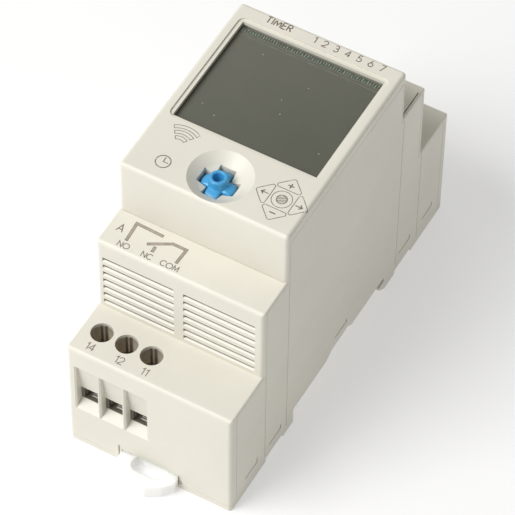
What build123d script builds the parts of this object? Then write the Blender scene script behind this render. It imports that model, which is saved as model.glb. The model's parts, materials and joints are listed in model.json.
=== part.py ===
"""DIN rail timer, two modules wide: housing, rail clip, display, joystick, boards, relay and screw terminals.

Frame: X runs across the modules, Y up the device from the contact terminals to the supply terminals,
and Z out from the rail. The origin is on the rail's centre line, in the plane of the housing's back.
"""
import os

from build123d import *

os.makedirs("parts", exist_ok=True)

# Housing outline, mm
WIDTH = 35.0                        # two modules of 17.5 mm
HALF = WIDTH / 2
FRONT_Z, SHOULDER_Z, TERMINAL_Z = 60.6, 47.5, 28.6      # the three front faces
FRONT_NEAR, FRONT_FAR = -22.4, 22.6                     # front block, 45 mm for a standard cut-out
SHOULDER_NEAR, SHOULDER_FAR = -30.9, 31.3
END_Y = 42.5
SEAM_Z = 1.4                        # front cover stops here above the rear case's end strip
EDGE_R, SIDE_EDGE_R = 0.8, 0.35     # rounded outer edges: fronts and corners, side edges of the shoulders
SIDE_WALL = 1.6                     # rear case's side walls
COVER_WALL = 1.8                    # front cover's walls and shoulders
TOP_WALL = 2.4                      # front cover's top plate
FIT = 0.1                           # clearance between pieces that are assembled
CASE_IN = HALF - SIDE_WALL          # inner faces of the side walls
COVER_IN = CASE_IN - FIT            # sides of the cover's part between the side walls
END_RETURN, SHOULDER_RETURN, FRONT_RETURN = 2.0, 1.2, 1.0   # cover seen from the side, behind each wall
SHOULDER_STRIP = 0.6                # cover seen from the side, under each shoulder

# Rail slot and back
RAIL_SEAT_Z, RAIL_CHANNEL_Z = 4.0, 5.2
SLOT_NEAR, SLOT_FAR = -18.6, 17.9   # walls of the rail slot
HOOK_TIP_Y, HOOK_IN_Z = 15.9, 2.8
BACK_FLOOR_Z, SLOT_FLOOR_Z = 2.0, 6.8
FOOT_GAP = (22.5, 29.2)             # shallow relief across each end of the back
FOOT_GAP_Z = 1.0

# Rail clip
CLIP_HALF, CLIP_STEM_HALF = 6.0, 5.2
CLIP_Z = (0.35, 2.0, 3.2)           # underside, underside of the side flanges, top
CLIP_RING_HALF, CLIP_RING_Y = 6.2, -47.8
CLIP_NOSE_Y = -16.3
CLIP_GAP = 0.2

# Window, dish and joystick
WINDOW = (-15.75, 15.75, -8.0, 19.4)            # recess outline: left, right, near, far
GLASS_HALF, GLASS_NEAR, GLASS_FAR = 14.95, -7.4, 18.6
LEDGE_DEPTH, GLASS_DEPTH = 0.35, 1.1
DISH_Y, DISH_R = -15.95, 6.2
STICK_X, STICK_Y = -0.35, -16.1
STICK_PIVOT_Z = 55.6
CAP_PLATE_Z = (57.2, 58.3)
CAP_ARM, CAP_ARM_HALF = 3.4, 1.38
CAP_TOP_Z = 60.4

# Boards
BOARD_T = 1.6
DISPLAY_BOARD_Z = 50.4
POWER_BOARD_Z = 8.0
BOARD_HALF = 15.0
LINK_X = 12.9                       # link board's inner face

# Screw terminals
CONTACT_X = {"14": -13.4, "12": -8.1, "11": -2.8}
SUPPLY_X = {"a1": -13.4, "a2": -8.1}
TERMINAL_Y = 36.5
BORE_R = 2.2
POCKET_HALF = 2.375                 # half of each terminal's compartment
WIRE_SLOT_Z = (12.0, 15.2)
CAGE_Z = (11.0, 17.9)               # lowest position, open for a wire
CAGE_WALL, CAGE_ROOF = 0.6, 1.6
SCREW_R, SCREW_HEAD_R = 1.5, 2.3
BLADE_Z = 15.3
BLADE_T = 0.8


def stepped_outline(end, shoulder, front, low, mid, top):
    """Points of the stepped outline in the YZ plane, its walls moved in by end, shoulder and front."""
    near, far = SHOULDER_NEAR + shoulder, SHOULDER_FAR - shoulder
    front_near, front_far = FRONT_NEAR + front, FRONT_FAR - front
    left = [(end - END_Y, 0), (end - END_Y, low), (near, low), (near, mid), (front_near, mid), (front_near, top)]
    right = [(front_far, top), (front_far, mid), (far, mid), (far, low), (END_Y - end, low), (END_Y - end, 0)]
    return left + right


def back_outline():
    """Points of the housing's back in the YZ plane, from the near end to the far end."""
    return [
        (-END_Y, 0), (-FOOT_GAP[1], 0), (-FOOT_GAP[1], FOOT_GAP_Z), (-FOOT_GAP[0], FOOT_GAP_Z), (-FOOT_GAP[0], 0),
        (SLOT_NEAR, 0), (SLOT_NEAR, RAIL_SEAT_Z), (-5.3, RAIL_SEAT_Z), (-3.3, RAIL_CHANNEL_Z),
        (3.2, RAIL_CHANNEL_Z), (4.7, RAIL_SEAT_Z), (SLOT_FAR, RAIL_SEAT_Z), (SLOT_FAR, HOOK_IN_Z),
        (HOOK_TIP_Y, HOOK_IN_Z - 0.3), (HOOK_TIP_Y, 1.9), (18.3, 0), (FOOT_GAP[0], 0),
        (FOOT_GAP[0], FOOT_GAP_Z), (FOOT_GAP[1], FOOT_GAP_Z), (FOOT_GAP[1], 0), (END_Y, 0),
    ]


def rounded_block(near, far, top, soft_sides=False):
    """Full-width block from the back to one front face, its upright and front edges rounded."""
    with BuildPart() as block:
        with BuildSketch(Plane.XY):
            with Locations((0, (near + far) / 2)):
                Rectangle(WIDTH, far - near)
        extrude(amount=top)
        front = block.faces().sort_by(Axis.Z)[-1].edges()
        upright = block.edges().filter_by(Axis.Z)
        fillet(upright + (front if soft_sides else front.filter_by(Axis.X)), EDGE_R)
        if not soft_sides:
            fillet(block.faces().sort_by(Axis.Z)[-1].edges().filter_by(Axis.Y), SIDE_EDGE_R)
    return block.part


def prism(points, x_from, x_to):
    """A YZ outline extruded from x_from to x_to."""
    with BuildPart() as solid:
        with BuildSketch(Plane.YZ.offset(x_from)):
            with BuildLine():
                Polyline(*points, close=True)
            make_face()
        extrude(amount=x_to - x_from)
    return solid.part


def plate(x_from, x_to, y_from, y_to, z_from, z_to):
    """A rectangular block given by its limits."""
    with BuildPart() as solid:
        with BuildSketch(Plane.XY.offset(z_from)):
            with Locations(((x_from + x_to) / 2, (y_from + y_to) / 2)):
                Rectangle(x_to - x_from, y_to - y_from)
        extrude(amount=z_to - z_from)
    return solid.part


def save(piece, name):
    piece.part.label = name
    export_step(piece.part, f"parts/{name}.step")


outer_blocks = [
    rounded_block(-END_Y, END_Y, TERMINAL_Z),
    rounded_block(SHOULDER_NEAR, SHOULDER_FAR, SHOULDER_Z),
    rounded_block(FRONT_NEAR, FRONT_FAR, FRONT_Z, soft_sides=True),
]

# ---------------------------------------------------------------- front cover
# The three front faces, the walls between them and both end walls. The middle is the front cover, and each
# end is a terminal top with the screwdriver holes, a terminal block under it and an end cover beside it.
VENT_PITCH, VENT_COUNT, VENT_TOP_Z = 2.06, 7, 43.2
VENT_GROUPS = ((-16.3, -1.3), (0.7, 15.7))
VENT_LIP, VENT_FIN = 1.15, 0.9          # drop of a louvre's sloped fin below its mouth: outer and inner edge
VENT_FIN_DEPTH, VENT_THROAT = 0.36, 1.5 # depth of the fin, and drop of the opening behind it
RECESS_Z = (10.5, 23.5)                 # wire windows in the end walls
RECESS_DEPTH = (0.6, 1.8)               # at the top, and at the slot
RECESS_BEVEL = 0.3                      # bevel along the left edge
POCKET_Y = (32.2, 40.2)                 # terminal compartments, from the rail's centre line
POCKET_ROOF_Z = 23.6
BLOCK_FLOOR_Z, BLOCK_WALL, BLOCK_BACK = 10.4, 0.55, 0.8
BLADE_SLOT_HALF, BLADE_ROOM = 1.5, 0.3  # slot for a blade in a block's back wall
CLIP_NOTCH_HALF, CLIP_NOTCH_Z = 6.9, 4.7
EDGE_SLIT_X, EDGE_SLIT_END = (16.75, 17.0), 29.4    # slit along each side edge of the far shoulder
DISH_PROFILE = ((0, 57.9), (2.0, 57.9), (4.1, 59.0), (DISH_R, FRONT_Z), (DISH_R, FRONT_Z + 1), (0, FRONT_Z + 1))
DISH_BOSS = ((0, 56.8), (3.2, 56.8), (6.4, FRONT_Z - TOP_WALL + 0.1), (0, FRONT_Z - TOP_WALL + 0.1))
SLOT_ARM, SLOT_ARM_HALF = 3.75, 1.65    # plus-shaped opening for the joystick
CREASE = 0.12                           # fine groove along the foot of each front wall
WINDOW_CORNER_R = 1.4
LENS_SIDE, LENS_END = 0.4, 0.5          # lens pocket's reach past the opening


def turned(profile, x, y):
    """A profile of (radius, height) points turned about the upright line through x, y."""
    with BuildPart() as solid:
        with BuildSketch(Plane(origin=(x, y, 0), x_dir=(1, 0, 0), z_dir=(0, -1, 0))):
            with BuildLine():
                Polyline(*profile, close=True)
            make_face()
        revolve(axis=Axis((x, y, 0), (0, 0, 1)))
    return solid.part


def louvre(z_top, x_from, x_to, side):
    """One vent through a shoulder wall: a sloped fin with a deeper opening behind it."""
    face = SHOULDER_FAR if side > 0 else SHOULDER_NEAR
    inner = face - side * VENT_FIN_DEPTH
    through = face - side * (COVER_WALL + 1)
    outside = face + side * 0.5
    points = [
        (outside, z_top), (through, z_top), (through, z_top - VENT_THROAT), (inner, z_top - VENT_THROAT),
        (inner, z_top - VENT_FIN), (face, z_top - VENT_LIP), (outside, z_top - VENT_LIP),
    ]
    return prism(points, x_from, x_to)


def wire_window(x, side):
    """Sloped recess of one wire entry in an end wall, with its sill, its bevelled edge and the slot behind it."""
    face = side * END_Y
    top_back, back = face - side * RECESS_DEPTH[0], face - side * RECESS_DEPTH[1]
    pocket = side * POCKET_Y[1]
    sill, slot_top = WIRE_SLOT_Z
    recess = [
        (face + side, RECESS_Z[1]), (top_back, RECESS_Z[1]), (back, slot_top), (back, sill), (face, RECESS_Z[0]),
        (face + side, RECESS_Z[0] - 0.7),
    ]
    slot = [(back + side * 0.1, slot_top), (pocket - side * 0.1, slot_top),
            (pocket - side * 0.1, sill), (back + side * 0.1, sill)]
    left = x - POCKET_HALF
    with BuildPart() as edge:
        with BuildSketch(Plane.XY.offset(RECESS_Z[0])):
            with BuildLine():
                Polyline((left - RECESS_BEVEL, face), (left, face - side * RECESS_BEVEL),
                         (left + RECESS_BEVEL, face), close=True)
            make_face()
        extrude(amount=RECESS_Z[1] - RECESS_Z[0])
    return [prism(points, left, x + POCKET_HALF) for points in (recess, slot)] + [edge.part]


def limits(side, near, far):
    """Y limits in rising order of a stretch given by its distances from the rail's centre line."""
    return sorted((side * near, side * far))


terminals = [(name, x, -1) for name, x in CONTACT_X.items()] + [(name, x, 1) for name, x in SUPPLY_X.items()]

with BuildPart() as cover:
    for block in outer_blocks:
        add(block)
    add(plate(-HALF - 1, HALF + 1, -END_Y - 1, END_Y + 1, -1, SEAM_Z), mode=Mode.SUBTRACT)
    cavity = stepped_outline(COVER_WALL, COVER_WALL, COVER_WALL, TERMINAL_Z - COVER_WALL,
                             SHOULDER_Z - COVER_WALL, FRONT_Z - TOP_WALL)
    add(prism(cavity, -COVER_IN, COVER_IN), mode=Mode.SUBTRACT)
    side_opening = stepped_outline(END_RETURN, SHOULDER_RETURN, FRONT_RETURN, TERMINAL_Z - SHOULDER_STRIP,
                                   SHOULDER_Z - SHOULDER_STRIP, FRONT_Z - TOP_WALL)
    for x_from, x_to in ((-HALF - 1, -COVER_IN), (COVER_IN, HALF + 1)):
        add(prism(side_opening, x_from, x_to), mode=Mode.SUBTRACT)

    # Terminal blocks moulded behind the end walls
    for names, side in ((CONTACT_X, -1), (SUPPLY_X, 1)):
        y_from, y_to = limits(side, POCKET_Y[0] - BLOCK_BACK, END_Y - COVER_WALL + 0.1)
        right = max(names.values()) + POCKET_HALF + BLOCK_WALL
        add(plate(-COVER_IN, right, y_from, y_to, BLOCK_FLOOR_Z, TERMINAL_Z - COVER_WALL + 0.1))
    for name, x, side in terminals:
        y_from, y_to = limits(side, *POCKET_Y)
        add(plate(x - POCKET_HALF, x + POCKET_HALF, y_from, y_to, 0, POCKET_ROOF_Z), mode=Mode.SUBTRACT)
        y_from, y_to = limits(side, POCKET_Y[0] - 1, POCKET_Y[0] + 0.1)
        add(plate(x - BLADE_SLOT_HALF, x + BLADE_SLOT_HALF, y_from, y_to, 0, BLADE_Z + BLADE_T + BLADE_ROOM),
            mode=Mode.SUBTRACT)
        for opening in wire_window(x, side):
            add(opening, mode=Mode.SUBTRACT)
        with BuildSketch(Plane.XY.offset(POCKET_ROOF_Z - 0.1)):
            with Locations((x, side * TERMINAL_Y)):
                Circle(BORE_R)
        extrude(amount=TERMINAL_Z - POCKET_ROOF_Z + 1, mode=Mode.SUBTRACT)

    # Vents in both shoulder walls
    for side in (-1, 1):
        for group in VENT_GROUPS:
            for row in range(VENT_COUNT):
                add(louvre(VENT_TOP_Z - row * VENT_PITCH, *group, side), mode=Mode.SUBTRACT)

    # Creases where the front block rises from the shoulders
    for side, foot in ((-1, FRONT_NEAR), (1, FRONT_FAR)):
        y_from, y_to = sorted((foot, foot + side * CREASE))
        add(plate(-HALF - 1, HALF + 1, y_from, y_to, SHOULDER_Z - CREASE, SHOULDER_Z + 1), mode=Mode.SUBTRACT)

    # Slits along the side edges of the far shoulder
    for side in (-1, 1):
        x_from, x_to = limits(side, *EDGE_SLIT_X)
        add(plate(x_from, x_to, FRONT_FAR + 0.2, EDGE_SLIT_END, SHOULDER_Z - SHOULDER_STRIP, SHOULDER_Z + 1),
            mode=Mode.SUBTRACT)

    # Window: shallow recess, opening, and a pocket for the lens behind it
    left, right, near, far = WINDOW
    with BuildSketch(Plane.XY.offset(FRONT_Z)):
        with Locations((0, (near + far) / 2)):
            RectangleRounded(right - left, far - near, WINDOW_CORNER_R)
    extrude(amount=-LEDGE_DEPTH, mode=Mode.SUBTRACT)
    add(plate(-GLASS_HALF, GLASS_HALF, GLASS_NEAR, GLASS_FAR, FRONT_Z - TOP_WALL - 1, FRONT_Z),
        mode=Mode.SUBTRACT)
    add(plate(-GLASS_HALF - LENS_SIDE, GLASS_HALF + LENS_SIDE, GLASS_NEAR - LENS_END, GLASS_FAR + LENS_END,
              FRONT_Z - TOP_WALL - 1, FRONT_Z - GLASS_DEPTH), mode=Mode.SUBTRACT)

    # Dish for the fingertip, with the joystick's opening in its floor
    add(turned(DISH_BOSS, 0, DISH_Y))
    add(turned(DISH_PROFILE, 0, DISH_Y), mode=Mode.SUBTRACT)
    with BuildSketch(Plane.XY.offset(DISH_BOSS[0][1] - 1)):
        with Locations((STICK_X, STICK_Y)):
            Rectangle(2 * SLOT_ARM, 2 * SLOT_ARM_HALF)
            Rectangle(2 * SLOT_ARM_HALF, 2 * SLOT_ARM)
    extrude(amount=FRONT_Z - DISH_BOSS[0][1] + 1, mode=Mode.SUBTRACT)

    # Notch over the rail clip
    add(plate(-CLIP_NOTCH_HALF, CLIP_NOTCH_HALF, -END_Y - 1, -END_Y + COVER_WALL + 1, 0, CLIP_NOTCH_Z),
        mode=Mode.SUBTRACT)

# Cut along the shoulder walls, at the terminals' right edge and at the roof of their pockets
across, upright = (-HALF - 1, HALF + 1), (-1, FRONT_Z + 1)
above, below = (POCKET_ROOF_Z, FRONT_Z + 1), (-1, POCKET_ROOF_Z)
cuts = [("front_cover", across, (SHOULDER_NEAR, SHOULDER_FAR), upright)]
for end, names, y_limits in (
    ("near", CONTACT_X, (-END_Y - 1, SHOULDER_NEAR)),
    ("far", SUPPLY_X, (SHOULDER_FAR, END_Y + 1)),
):
    split_x = max(names.values()) + POCKET_HALF + BLOCK_WALL
    cuts += [
        (f"{end}_terminal_top", (across[0], split_x), y_limits, above),
        (f"{end}_terminal_block", (across[0], split_x), y_limits, below),
        (f"{end}_end_cover", (split_x, across[1]), y_limits, upright),
    ]
for cover_name, x_limits, y_limits, z_limits in cuts:
    with BuildPart() as moulding:
        add(cover.part)
        add(plate(*x_limits, *y_limits, *z_limits), mode=Mode.INTERSECT)
    save(moulding, cover_name)

# ---------------------------------------------------------------- rear case
# One moulding: both side walls, the back with its rail slot and fixed hook, and the clip's channel.
CHANNEL_Z = (1.9, 3.4)                  # step of the clip's T-shaped channel, and its roof
CHANNEL_BLOCK_HALF, CHANNEL_BLOCK_Z = 8.4, 5.0
MARKS = ((-37.2, -32.4, 3.9, 1.6), (-28.0, -23.4, 3.8, 1.5), (-2.2, 2.5, 7.5, 1.0),
         (23.9, 28.5, 4.7, 1.4), (33.5, 37.8, 4.9, 1.4))    # latch slits in the sides: y, y, z, hook height
MARK_WIDTH, MARK_DEPTH = 0.4, 0.5
PARTING_Y = ((-29.7, TERMINAL_Z - 1), (-21.4, SHOULDER_Z - 1), (22.6, SHOULDER_Z - 1), (31.3, TERMINAL_Z - 1))
PARTING_WIDTH, PARTING_DEPTH = 0.2, 0.12
SLOT_WALL = 1.6                         # back's thickness beside the rail slot
POST_X, POST_Y, POST_HALF = 13.0, 27.0, 1.3             # posts under the power board
LEDGE_Y, LEDGE_HALF, LEDGE_T, LEDGE_IN = 14.0, 4.0, 1.2, 1.0    # ledges under the display board

with BuildPart() as rear_case:
    add(outer_blocks[0])
    add(plate(-HALF - 1, HALF + 1, -END_Y - 1, END_Y + 1, SEAM_Z - FIT, TERMINAL_Z + 1), mode=Mode.SUBTRACT)
    floor_y = END_Y - END_RETURN - FIT
    floor = [
        (-floor_y, 0), (-floor_y, BACK_FLOOR_Z), (SLOT_NEAR - SLOT_WALL, BACK_FLOOR_Z),
        (SLOT_NEAR - SLOT_WALL, SLOT_FLOOR_Z), (SLOT_FAR + SLOT_WALL, SLOT_FLOOR_Z),
        (SLOT_FAR + SLOT_WALL, BACK_FLOOR_Z), (floor_y, BACK_FLOOR_Z), (floor_y, 0),
    ]
    add(prism(floor, -HALF, HALF))
    wall = stepped_outline(END_RETURN + FIT, SHOULDER_RETURN + FIT, FRONT_RETURN + FIT,
                           TERMINAL_Z - SHOULDER_STRIP - FIT, SHOULDER_Z - SHOULDER_STRIP - FIT,
                           FRONT_Z - TOP_WALL - FIT)
    add(prism(wall, -HALF, -CASE_IN))
    add(prism(wall, CASE_IN, HALF))
    add(plate(-CHANNEL_BLOCK_HALF, CHANNEL_BLOCK_HALF, -floor_y, SLOT_NEAR, 0, CHANNEL_BLOCK_Z))
    add(plate(-CLIP_NOTCH_HALF + FIT, CLIP_NOTCH_HALF - FIT, -END_Y + 0.2, -floor_y + 0.5,
              0, CLIP_NOTCH_Z - FIT))
    # Posts under the power board and ledges under the display board
    for x in (-POST_X, POST_X):
        for y in (-POST_Y, POST_Y):
            add(plate(x - POST_HALF, x + POST_HALF, y - POST_HALF, y + POST_HALF, 0.5, POWER_BOARD_Z))
    for side in (-1, 1):
        x_from, x_to = limits(side, CASE_IN - LEDGE_IN, CASE_IN + 0.5)
        for y in (-LEDGE_Y, LEDGE_Y):
            add(plate(x_from, x_to, y - LEDGE_HALF, y + LEDGE_HALF, DISPLAY_BOARD_Z - LEDGE_T, DISPLAY_BOARD_Z))
    # Rail slot with its fixed hook, and the clip's channel
    under = back_outline() + [(END_Y + 1, 0), (END_Y + 1, -1), (-END_Y - 1, -1), (-END_Y - 1, 0)]
    add(prism(under, -HALF - 1, HALF + 1), mode=Mode.SUBTRACT)
    for clip_half, z_from, z_to in ((CLIP_STEM_HALF, -1, CHANNEL_Z[0]), (CLIP_HALF, CHANNEL_Z[0], CHANNEL_Z[1])):
        half = clip_half + CLIP_GAP
        add(plate(-half, half, -END_Y - 1, SLOT_NEAR + 0.5, z_from, z_to), mode=Mode.SUBTRACT)
    # Latch slits and fine parting lines on the outside
    for side in (-1, 1):
        x_from, x_to = limits(side, HALF - MARK_DEPTH, HALF + 1)
        for y_from, y_to, z, hook in MARKS:
            add(plate(x_from, x_to, y_from, y_to, z, z + MARK_WIDTH), mode=Mode.SUBTRACT)
            add(plate(x_from, x_to, y_to - MARK_WIDTH, y_to, z, z + hook), mode=Mode.SUBTRACT)
        x_from, x_to = limits(side, HALF - PARTING_DEPTH, HALF + 1)
        for y, z_top in PARTING_Y:
            add(plate(x_from, x_to, y, y + PARTING_WIDTH, BACK_FLOOR_Z, z_top), mode=Mode.SUBTRACT)
save(rear_case, "rear_case")

# ---------------------------------------------------------------- rail clip
# Nylon foot in the T-shaped channel: pull ring outside, two sprung side arms, and a nose under the rail's lip.
RING_CORNERS = ((-CLIP_RING_HALF, -42.7), (-CLIP_RING_HALF, -44.1), (-4.7, -46.4), (-1.6, CLIP_RING_Y),
                (1.6, CLIP_RING_Y), (4.5, -46.1), (CLIP_RING_HALF, -44.1), (CLIP_RING_HALF, -42.7))
RING_SLOT_Y, RING_SLOT_LENGTH, RING_SLOT_WIDTH = -43.5, 6.8, 3.4
ARM_SLIT = (-37.0, -23.0)               # slits that free the side arms
ARM_SLIT_X, ARM_SLIT_WIDTH = 4.0, 0.8
SHANK_FROM = -42.8                      # stem and flanges start inside the pull ring
RING_TIP_R, NOSE_SLOPE, NOSE_TIP_Z = 1.6, 2.3, 2.4

with BuildPart() as rail_clip:
    z_low, z_flange, z_top = CLIP_Z
    add(plate(-CLIP_STEM_HALF, CLIP_STEM_HALF, SHANK_FROM, CLIP_NOSE_Y, z_low, z_top))
    add(plate(-CLIP_HALF, CLIP_HALF, SHANK_FROM, SLOT_NEAR - 1.5, z_flange, z_top))
    with BuildSketch(Plane.XY.offset(z_low)):
        with BuildLine():
            Polyline(*RING_CORNERS, close=True)
        make_face()
    extrude(amount=z_top - z_low)
    fillet(rail_clip.edges().filter_by(Axis.Z).group_by(Axis.Y)[0], RING_TIP_R)
    with BuildSketch(Plane.XY.offset(z_low - 1)):
        with Locations((0, RING_SLOT_Y)):
            SlotOverall(RING_SLOT_LENGTH, RING_SLOT_WIDTH)
        with Locations((-ARM_SLIT_X, sum(ARM_SLIT) / 2), (ARM_SLIT_X, sum(ARM_SLIT) / 2)):
            SlotOverall(ARM_SLIT[1] - ARM_SLIT[0], ARM_SLIT_WIDTH, rotation=90)
    extrude(amount=z_top - z_low + 2, mode=Mode.SUBTRACT)
    nose = [(CLIP_NOSE_Y - NOSE_SLOPE, z_low - 0.1), (CLIP_NOSE_Y + 0.1, z_low - 0.1),
            (CLIP_NOSE_Y + 0.1, NOSE_TIP_Z), (CLIP_NOSE_Y, NOSE_TIP_Z)]
    add(prism(nose, -CLIP_HALF, CLIP_HALF), mode=Mode.SUBTRACT)
    add(plate(-CLIP_HALF, CLIP_HALF, SLOT_NEAR + 0.1, CLIP_NOSE_Y + 1, HOOK_IN_Z, z_top + 1), mode=Mode.SUBTRACT)
save(rail_clip, "rail_clip")

# ---------------------------------------------------------------- display
LENS_Z = (59.05, FRONT_Z - GLASS_DEPTH)
LCD_Z = (56.2, 59.0)
LCD = (-15.2, 15.2, -7.6, 18.8)
DIFFUSER = (-13.9, 13.9, -6.4, 16.9)
DIFFUSER_Z = (53.2, 56.0)
ZEBRA_HALF, ZEBRA_Y = 14.3, (17.7, 18.7)
FRAME = (-15.4, 15.4, -8.2, 19.8)
FRAME_FIT, FRAME_RIM = 0.1, 1.0
LCD_STEP = (1.3, 1.1)                   # width and height of the lower glass's ledge over the connector
LED_SIZE, LED_PITCH, LED_HEIGHT = (3.0, 1.4), (9.0, 14.0), 0.8
BOARD_TOP = DISPLAY_BOARD_Z + BOARD_T
BOARD_SIZE, BOARD_HOLE_R, BOARD_CORNER_R = (30.4, 40.4), 0.9, 0.8
BOARD_HOLES = ((-13.6, -18.6), (13.6, -18.6), (-13.6, 18.8), (13.6, 18.8))
ANTENNA_AT, ANTENNA_OUT, ANTENNA_IN, ANTENNA_T = (-11.2, -14.0), (7.6, 9.4), (4.6, 6.4), 0.2
CHIP_AT, CHIP_HALF, CHIP_DROP = (-8.0, -12.0), 3.5, (1.1, 0.1)
LEAD_PITCH, LEAD_COUNT, LEAD_ROWS, LEAD_SIZE, LEAD_T = 0.8, 8, 8.1, (0.35, 1.3), 0.4
CRYSTAL_AT, CRYSTAL_SIZE, CRYSTAL_HEIGHT = (4.0, -13.5), (10.4, 4.4), 3.4

with BuildPart() as display_window:
    add(plate(-GLASS_HALF - 0.3, GLASS_HALF + 0.3, GLASS_NEAR - 0.4, GLASS_FAR + 0.4, *LENS_Z))
save(display_window, "display_window")

with BuildPart() as lcd_panel:
    add(plate(LCD[0], LCD[1], LCD[2], LCD[3] - LCD_STEP[0], *LCD_Z))
    add(plate(*LCD, LCD_Z[0], LCD_Z[0] + LCD_STEP[1]))
save(lcd_panel, "lcd_panel")

with BuildPart() as lcd_frame:
    add(plate(*FRAME, BOARD_TOP, LCD_Z[0]))
    left, right, near, far = DIFFUSER
    add(plate(left - FRAME_FIT, right + FRAME_FIT, near - FRAME_FIT, far + FRAME_FIT,
              DIFFUSER_Z[0], LCD_Z[0] + 1), mode=Mode.SUBTRACT)
    add(plate(left + FRAME_RIM, right - FRAME_RIM, near + FRAME_RIM, far - FRAME_RIM, 0, LCD_Z[0]),
        mode=Mode.SUBTRACT)
    add(plate(-ZEBRA_HALF - FRAME_FIT, ZEBRA_HALF + FRAME_FIT, ZEBRA_Y[0] - FRAME_FIT, ZEBRA_Y[1] + FRAME_FIT,
              0, LCD_Z[0] + 1), mode=Mode.SUBTRACT)
save(lcd_frame, "lcd_frame")

with BuildPart() as backlight_diffuser:
    add(plate(*DIFFUSER, *DIFFUSER_Z))
    fillet(backlight_diffuser.edges().filter_by(Axis.Z), 0.5)
save(backlight_diffuser, "backlight_diffuser")

with BuildPart() as backlight_leds:
    with BuildSketch(Plane.XY.offset(BOARD_TOP)):
        with GridLocations(*LED_PITCH, 3, 2):
            with Locations((0, sum(DIFFUSER[2:]) / 2)):
                Rectangle(*LED_SIZE)
    extrude(amount=LED_HEIGHT)
save(backlight_leds, "backlight_leds")

with BuildPart() as zebra_connector:
    add(plate(-ZEBRA_HALF, ZEBRA_HALF, *ZEBRA_Y, BOARD_TOP, LCD_Z[0]))
save(zebra_connector, "zebra_connector")

with BuildPart() as display_board:
    with BuildSketch(Plane.XY.offset(DISPLAY_BOARD_Z)):
        with Locations((0, (BOARD_HOLES[0][1] + BOARD_HOLES[2][1]) / 2)):
            RectangleRounded(*BOARD_SIZE, BOARD_CORNER_R)
        with Locations(*BOARD_HOLES):
            Circle(BOARD_HOLE_R, mode=Mode.SUBTRACT)
    extrude(amount=BOARD_T)
save(display_board, "display_board")

with BuildPart() as nfc_antenna:
    with BuildSketch(Plane.XY.offset(FRONT_Z - TOP_WALL - ANTENNA_T)):
        with Locations(ANTENNA_AT):
            RectangleRounded(*ANTENNA_OUT, 1.0)
            RectangleRounded(*ANTENNA_IN, 0.6, mode=Mode.SUBTRACT)
    extrude(amount=ANTENNA_T)
save(nfc_antenna, "nfc_antenna")

with BuildPart() as microcontroller:
    with BuildSketch(Plane.XY.offset(DISPLAY_BOARD_Z - CHIP_DROP[0])):
        with Locations(CHIP_AT):
            Rectangle(2 * CHIP_HALF, 2 * CHIP_HALF)
    extrude(amount=CHIP_DROP[0] - CHIP_DROP[1])
    with BuildSketch(Plane.XY.offset(DISPLAY_BOARD_Z - LEAD_T)):
        with Locations(CHIP_AT):
            with GridLocations(LEAD_PITCH, LEAD_ROWS, LEAD_COUNT, 2):
                Rectangle(*LEAD_SIZE)
            with GridLocations(LEAD_ROWS, LEAD_PITCH, 2, LEAD_COUNT):
                Rectangle(*reversed(LEAD_SIZE))
    extrude(amount=LEAD_T)
save(microcontroller, "microcontroller")

with BuildPart() as crystal:
    with BuildSketch(Plane.XY.offset(DISPLAY_BOARD_Z)):
        with Locations(CRYSTAL_AT):
            SlotOverall(*CRYSTAL_SIZE)
    extrude(amount=-CRYSTAL_HEIGHT)
    fillet(crystal.faces().sort_by(Axis.Z)[0].edges(), 0.5)
save(crystal, "crystal")

# ---------------------------------------------------------------- clock battery
CELL = (-1.5, 5.5)
CELL_R, CELL_T = 10.0, 3.2
CELL_TOP = DISPLAY_BOARD_Z - 0.5
HOLDER_SIZE, HOLDER_T = (12.0, 22.4), 0.4
STRAP_HALF, STRAP_Y, STRAP_T = 6.0, (CELL_R + 0.2, CELL_R + 0.9), 0.5
FINGER_HALF, FINGER_Y = 4.0, (CELL_R - 1.6, CELL_R + 0.5)

with BuildPart() as coin_battery:
    with BuildSketch(Plane.XY.offset(CELL_TOP - CELL_T)):
        with Locations(CELL):
            Circle(CELL_R)
    extrude(amount=CELL_T)
    fillet(coin_battery.edges().filter_by(GeomType.CIRCLE), 0.4)
save(coin_battery, "coin_battery")

with BuildPart() as battery_holder:
    with BuildSketch(Plane.XY.offset(DISPLAY_BOARD_Z - HOLDER_T)):
        with Locations(CELL):
            Rectangle(*HOLDER_SIZE)
    extrude(amount=HOLDER_T)
    strap_z = CELL_TOP - CELL_T - STRAP_T
    for side in (-1, 1):
        y_from, y_to = limits(side, *STRAP_Y)
        add(plate(CELL[0] - STRAP_HALF, CELL[0] + STRAP_HALF, CELL[1] + y_from, CELL[1] + y_to, strap_z,
                  DISPLAY_BOARD_Z))
        y_from, y_to = limits(side, *FINGER_Y)
        add(plate(CELL[0] - FINGER_HALF, CELL[0] + FINGER_HALF, CELL[1] + y_from, CELL[1] + y_to, strap_z,
                  strap_z + HOLDER_T))
save(battery_holder, "battery_holder")

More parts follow.
